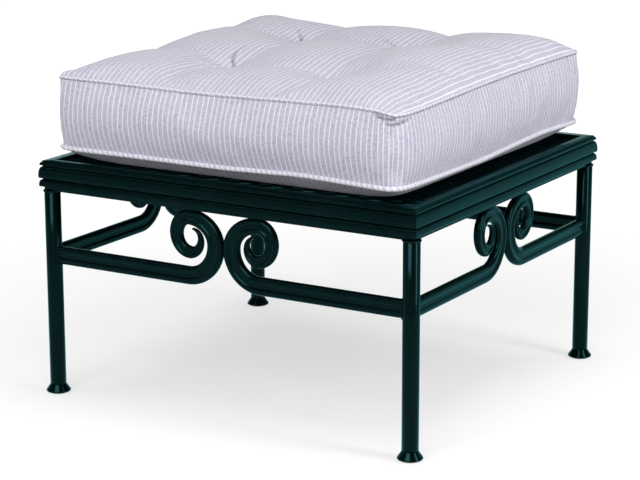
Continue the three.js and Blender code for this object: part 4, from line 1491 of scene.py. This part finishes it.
def make_studio():
    bpy.context.scene.view_settings.view_transform = "Standard"
    world = bpy.data.worlds.new("studio")
    bpy.context.scene.world = world
    n = Nodes(world)
    towards = n.coordinates("Generated")
    backdrop = n.span(n.split(towards)["Z"], *BACKDROP_RISE, 1.0, OVERHEAD)
    seen = seen_directly(n, towards, 0.0, -0.8)
    strength = n.add("ShaderNodeMix", {0: seen, 2: FILL_LIGHT, 3: backdrop}).outputs[0]
    sky = n.tree.nodes["Background"].inputs
    n.put(sky["Color"], (1, 1, 1))
    n.put(sky["Strength"], strength)

    n, place = new_material("studio_floor")
    reach = n.add("ShaderNodeVectorMath", {0: place}, operation="LENGTH").outputs["Value"]
    parts = n.split(place)
    # Painted shadow: the floor glows less between the legs, under the ottoman
    outside = [
        n.span(n.math("ABSOLUTE", parts[axis]), half - SHADE_INSIDE, half + SHADE_OUTSIDE)
        for axis, half in (("X", LEG_X), ("Y", LEG_Y))
    ]
    beyond = n.math("MAXIMUM", *outside)
    glow = n.span(reach, 0.5, 1.7, FLOOR_GLOW, FAR_GLOW)
    glow = n.math("MULTIPLY", glow, n.span(beyond, 0.0, 1.0, PAINTED_SHADOW_GLOW, 1.0))
    glow = n.math("MULTIPLY", glow, seen_directly(n, place, -0.45, -1.1))
    surface = n.set(
        Base_Color=(0.40, 0.40, 0.40), Roughness=0.9, Specular_IOR_Level=0.0,
        Emission_Color=(1.0, 1.0, 1.0), Emission_Strength=glow,
    )
    square = [(x * FLOOR_HALF, y * FLOOR_HALF, 0) for x, y in ((-1, -1), (1, -1), (1, 1), (-1, 1))]
    floor = object_from("studio_floor", square, [(0, 1, 2, 3)])
    floor.data.materials.append(surface)

    data = bpy.data.lights.new("ceiling", "SUN")
    data.angle = math.radians(55)
    data.energy = SUN_LEVEL * math.pi
    ceiling = linked("ceiling", data)
    ceiling.rotation_euler = (math.radians(-12), math.radians(8), 0)
    for lamp in SOFTBOXES:
        softbox(*lamp)


# The ottoman

make_camera()

COAT = powder_coat()
NYLON = moulded_nylon()
TICKING = ticking("ticking", STRIPE_HALF, 0.0)
PIPING = ticking("piping", PIPING_STRIPE_HALF, 0.3)
FOAM = foam_wadding()
# Near-black stitching thread, also standing in for the shade in the groove under the top welt
THREAD_AND_SEAM_SHADE = plain_yarn("thread", (0.05, 0.048, 0.075), (0.10, 0.095, 0.13))
TWINE = plain_yarn("twine", (0.55, 0.53, 0.56), (0.74, 0.72, 0.75))
TAPE = plain_yarn("zip_yarn", (0.40, 0.38, 0.45), (0.58, 0.56, 0.63))
NICKEL = nickel()

for side_name in SIDES:
    make_rail(side_name, COAT)
    make_scrolls(side_name, COAT)
for corner_name in CORNERS:
    make_leg(corner_name, COAT, NYLON)
    make_leg_welds(corner_name, COAT)
make_deck(COAT)
make_bars(COAT)

cover_piece, seam_loops, tuft_places = make_cover(TICKING)
make_welt("cushion_welt_top", seam_loops[1], 1.6 * MM, 0.9 * MM, -0.2 * MM, PIPING)
make_welt("cushion_welt_bottom", seam_loops[0], WELT_RADIUS, 2.2 * MM, 0.0, PIPING)
make_stitches(cover_piece, seam_loops, THREAD_AND_SEAM_SHADE)
make_core(FOAM)
for corner_name in CORNERS:
    make_tie(corner_name, tuft_places[corner_name], TWINE)
make_zip_tape(TAPE)
make_slider(NICKEL)
make_studio()
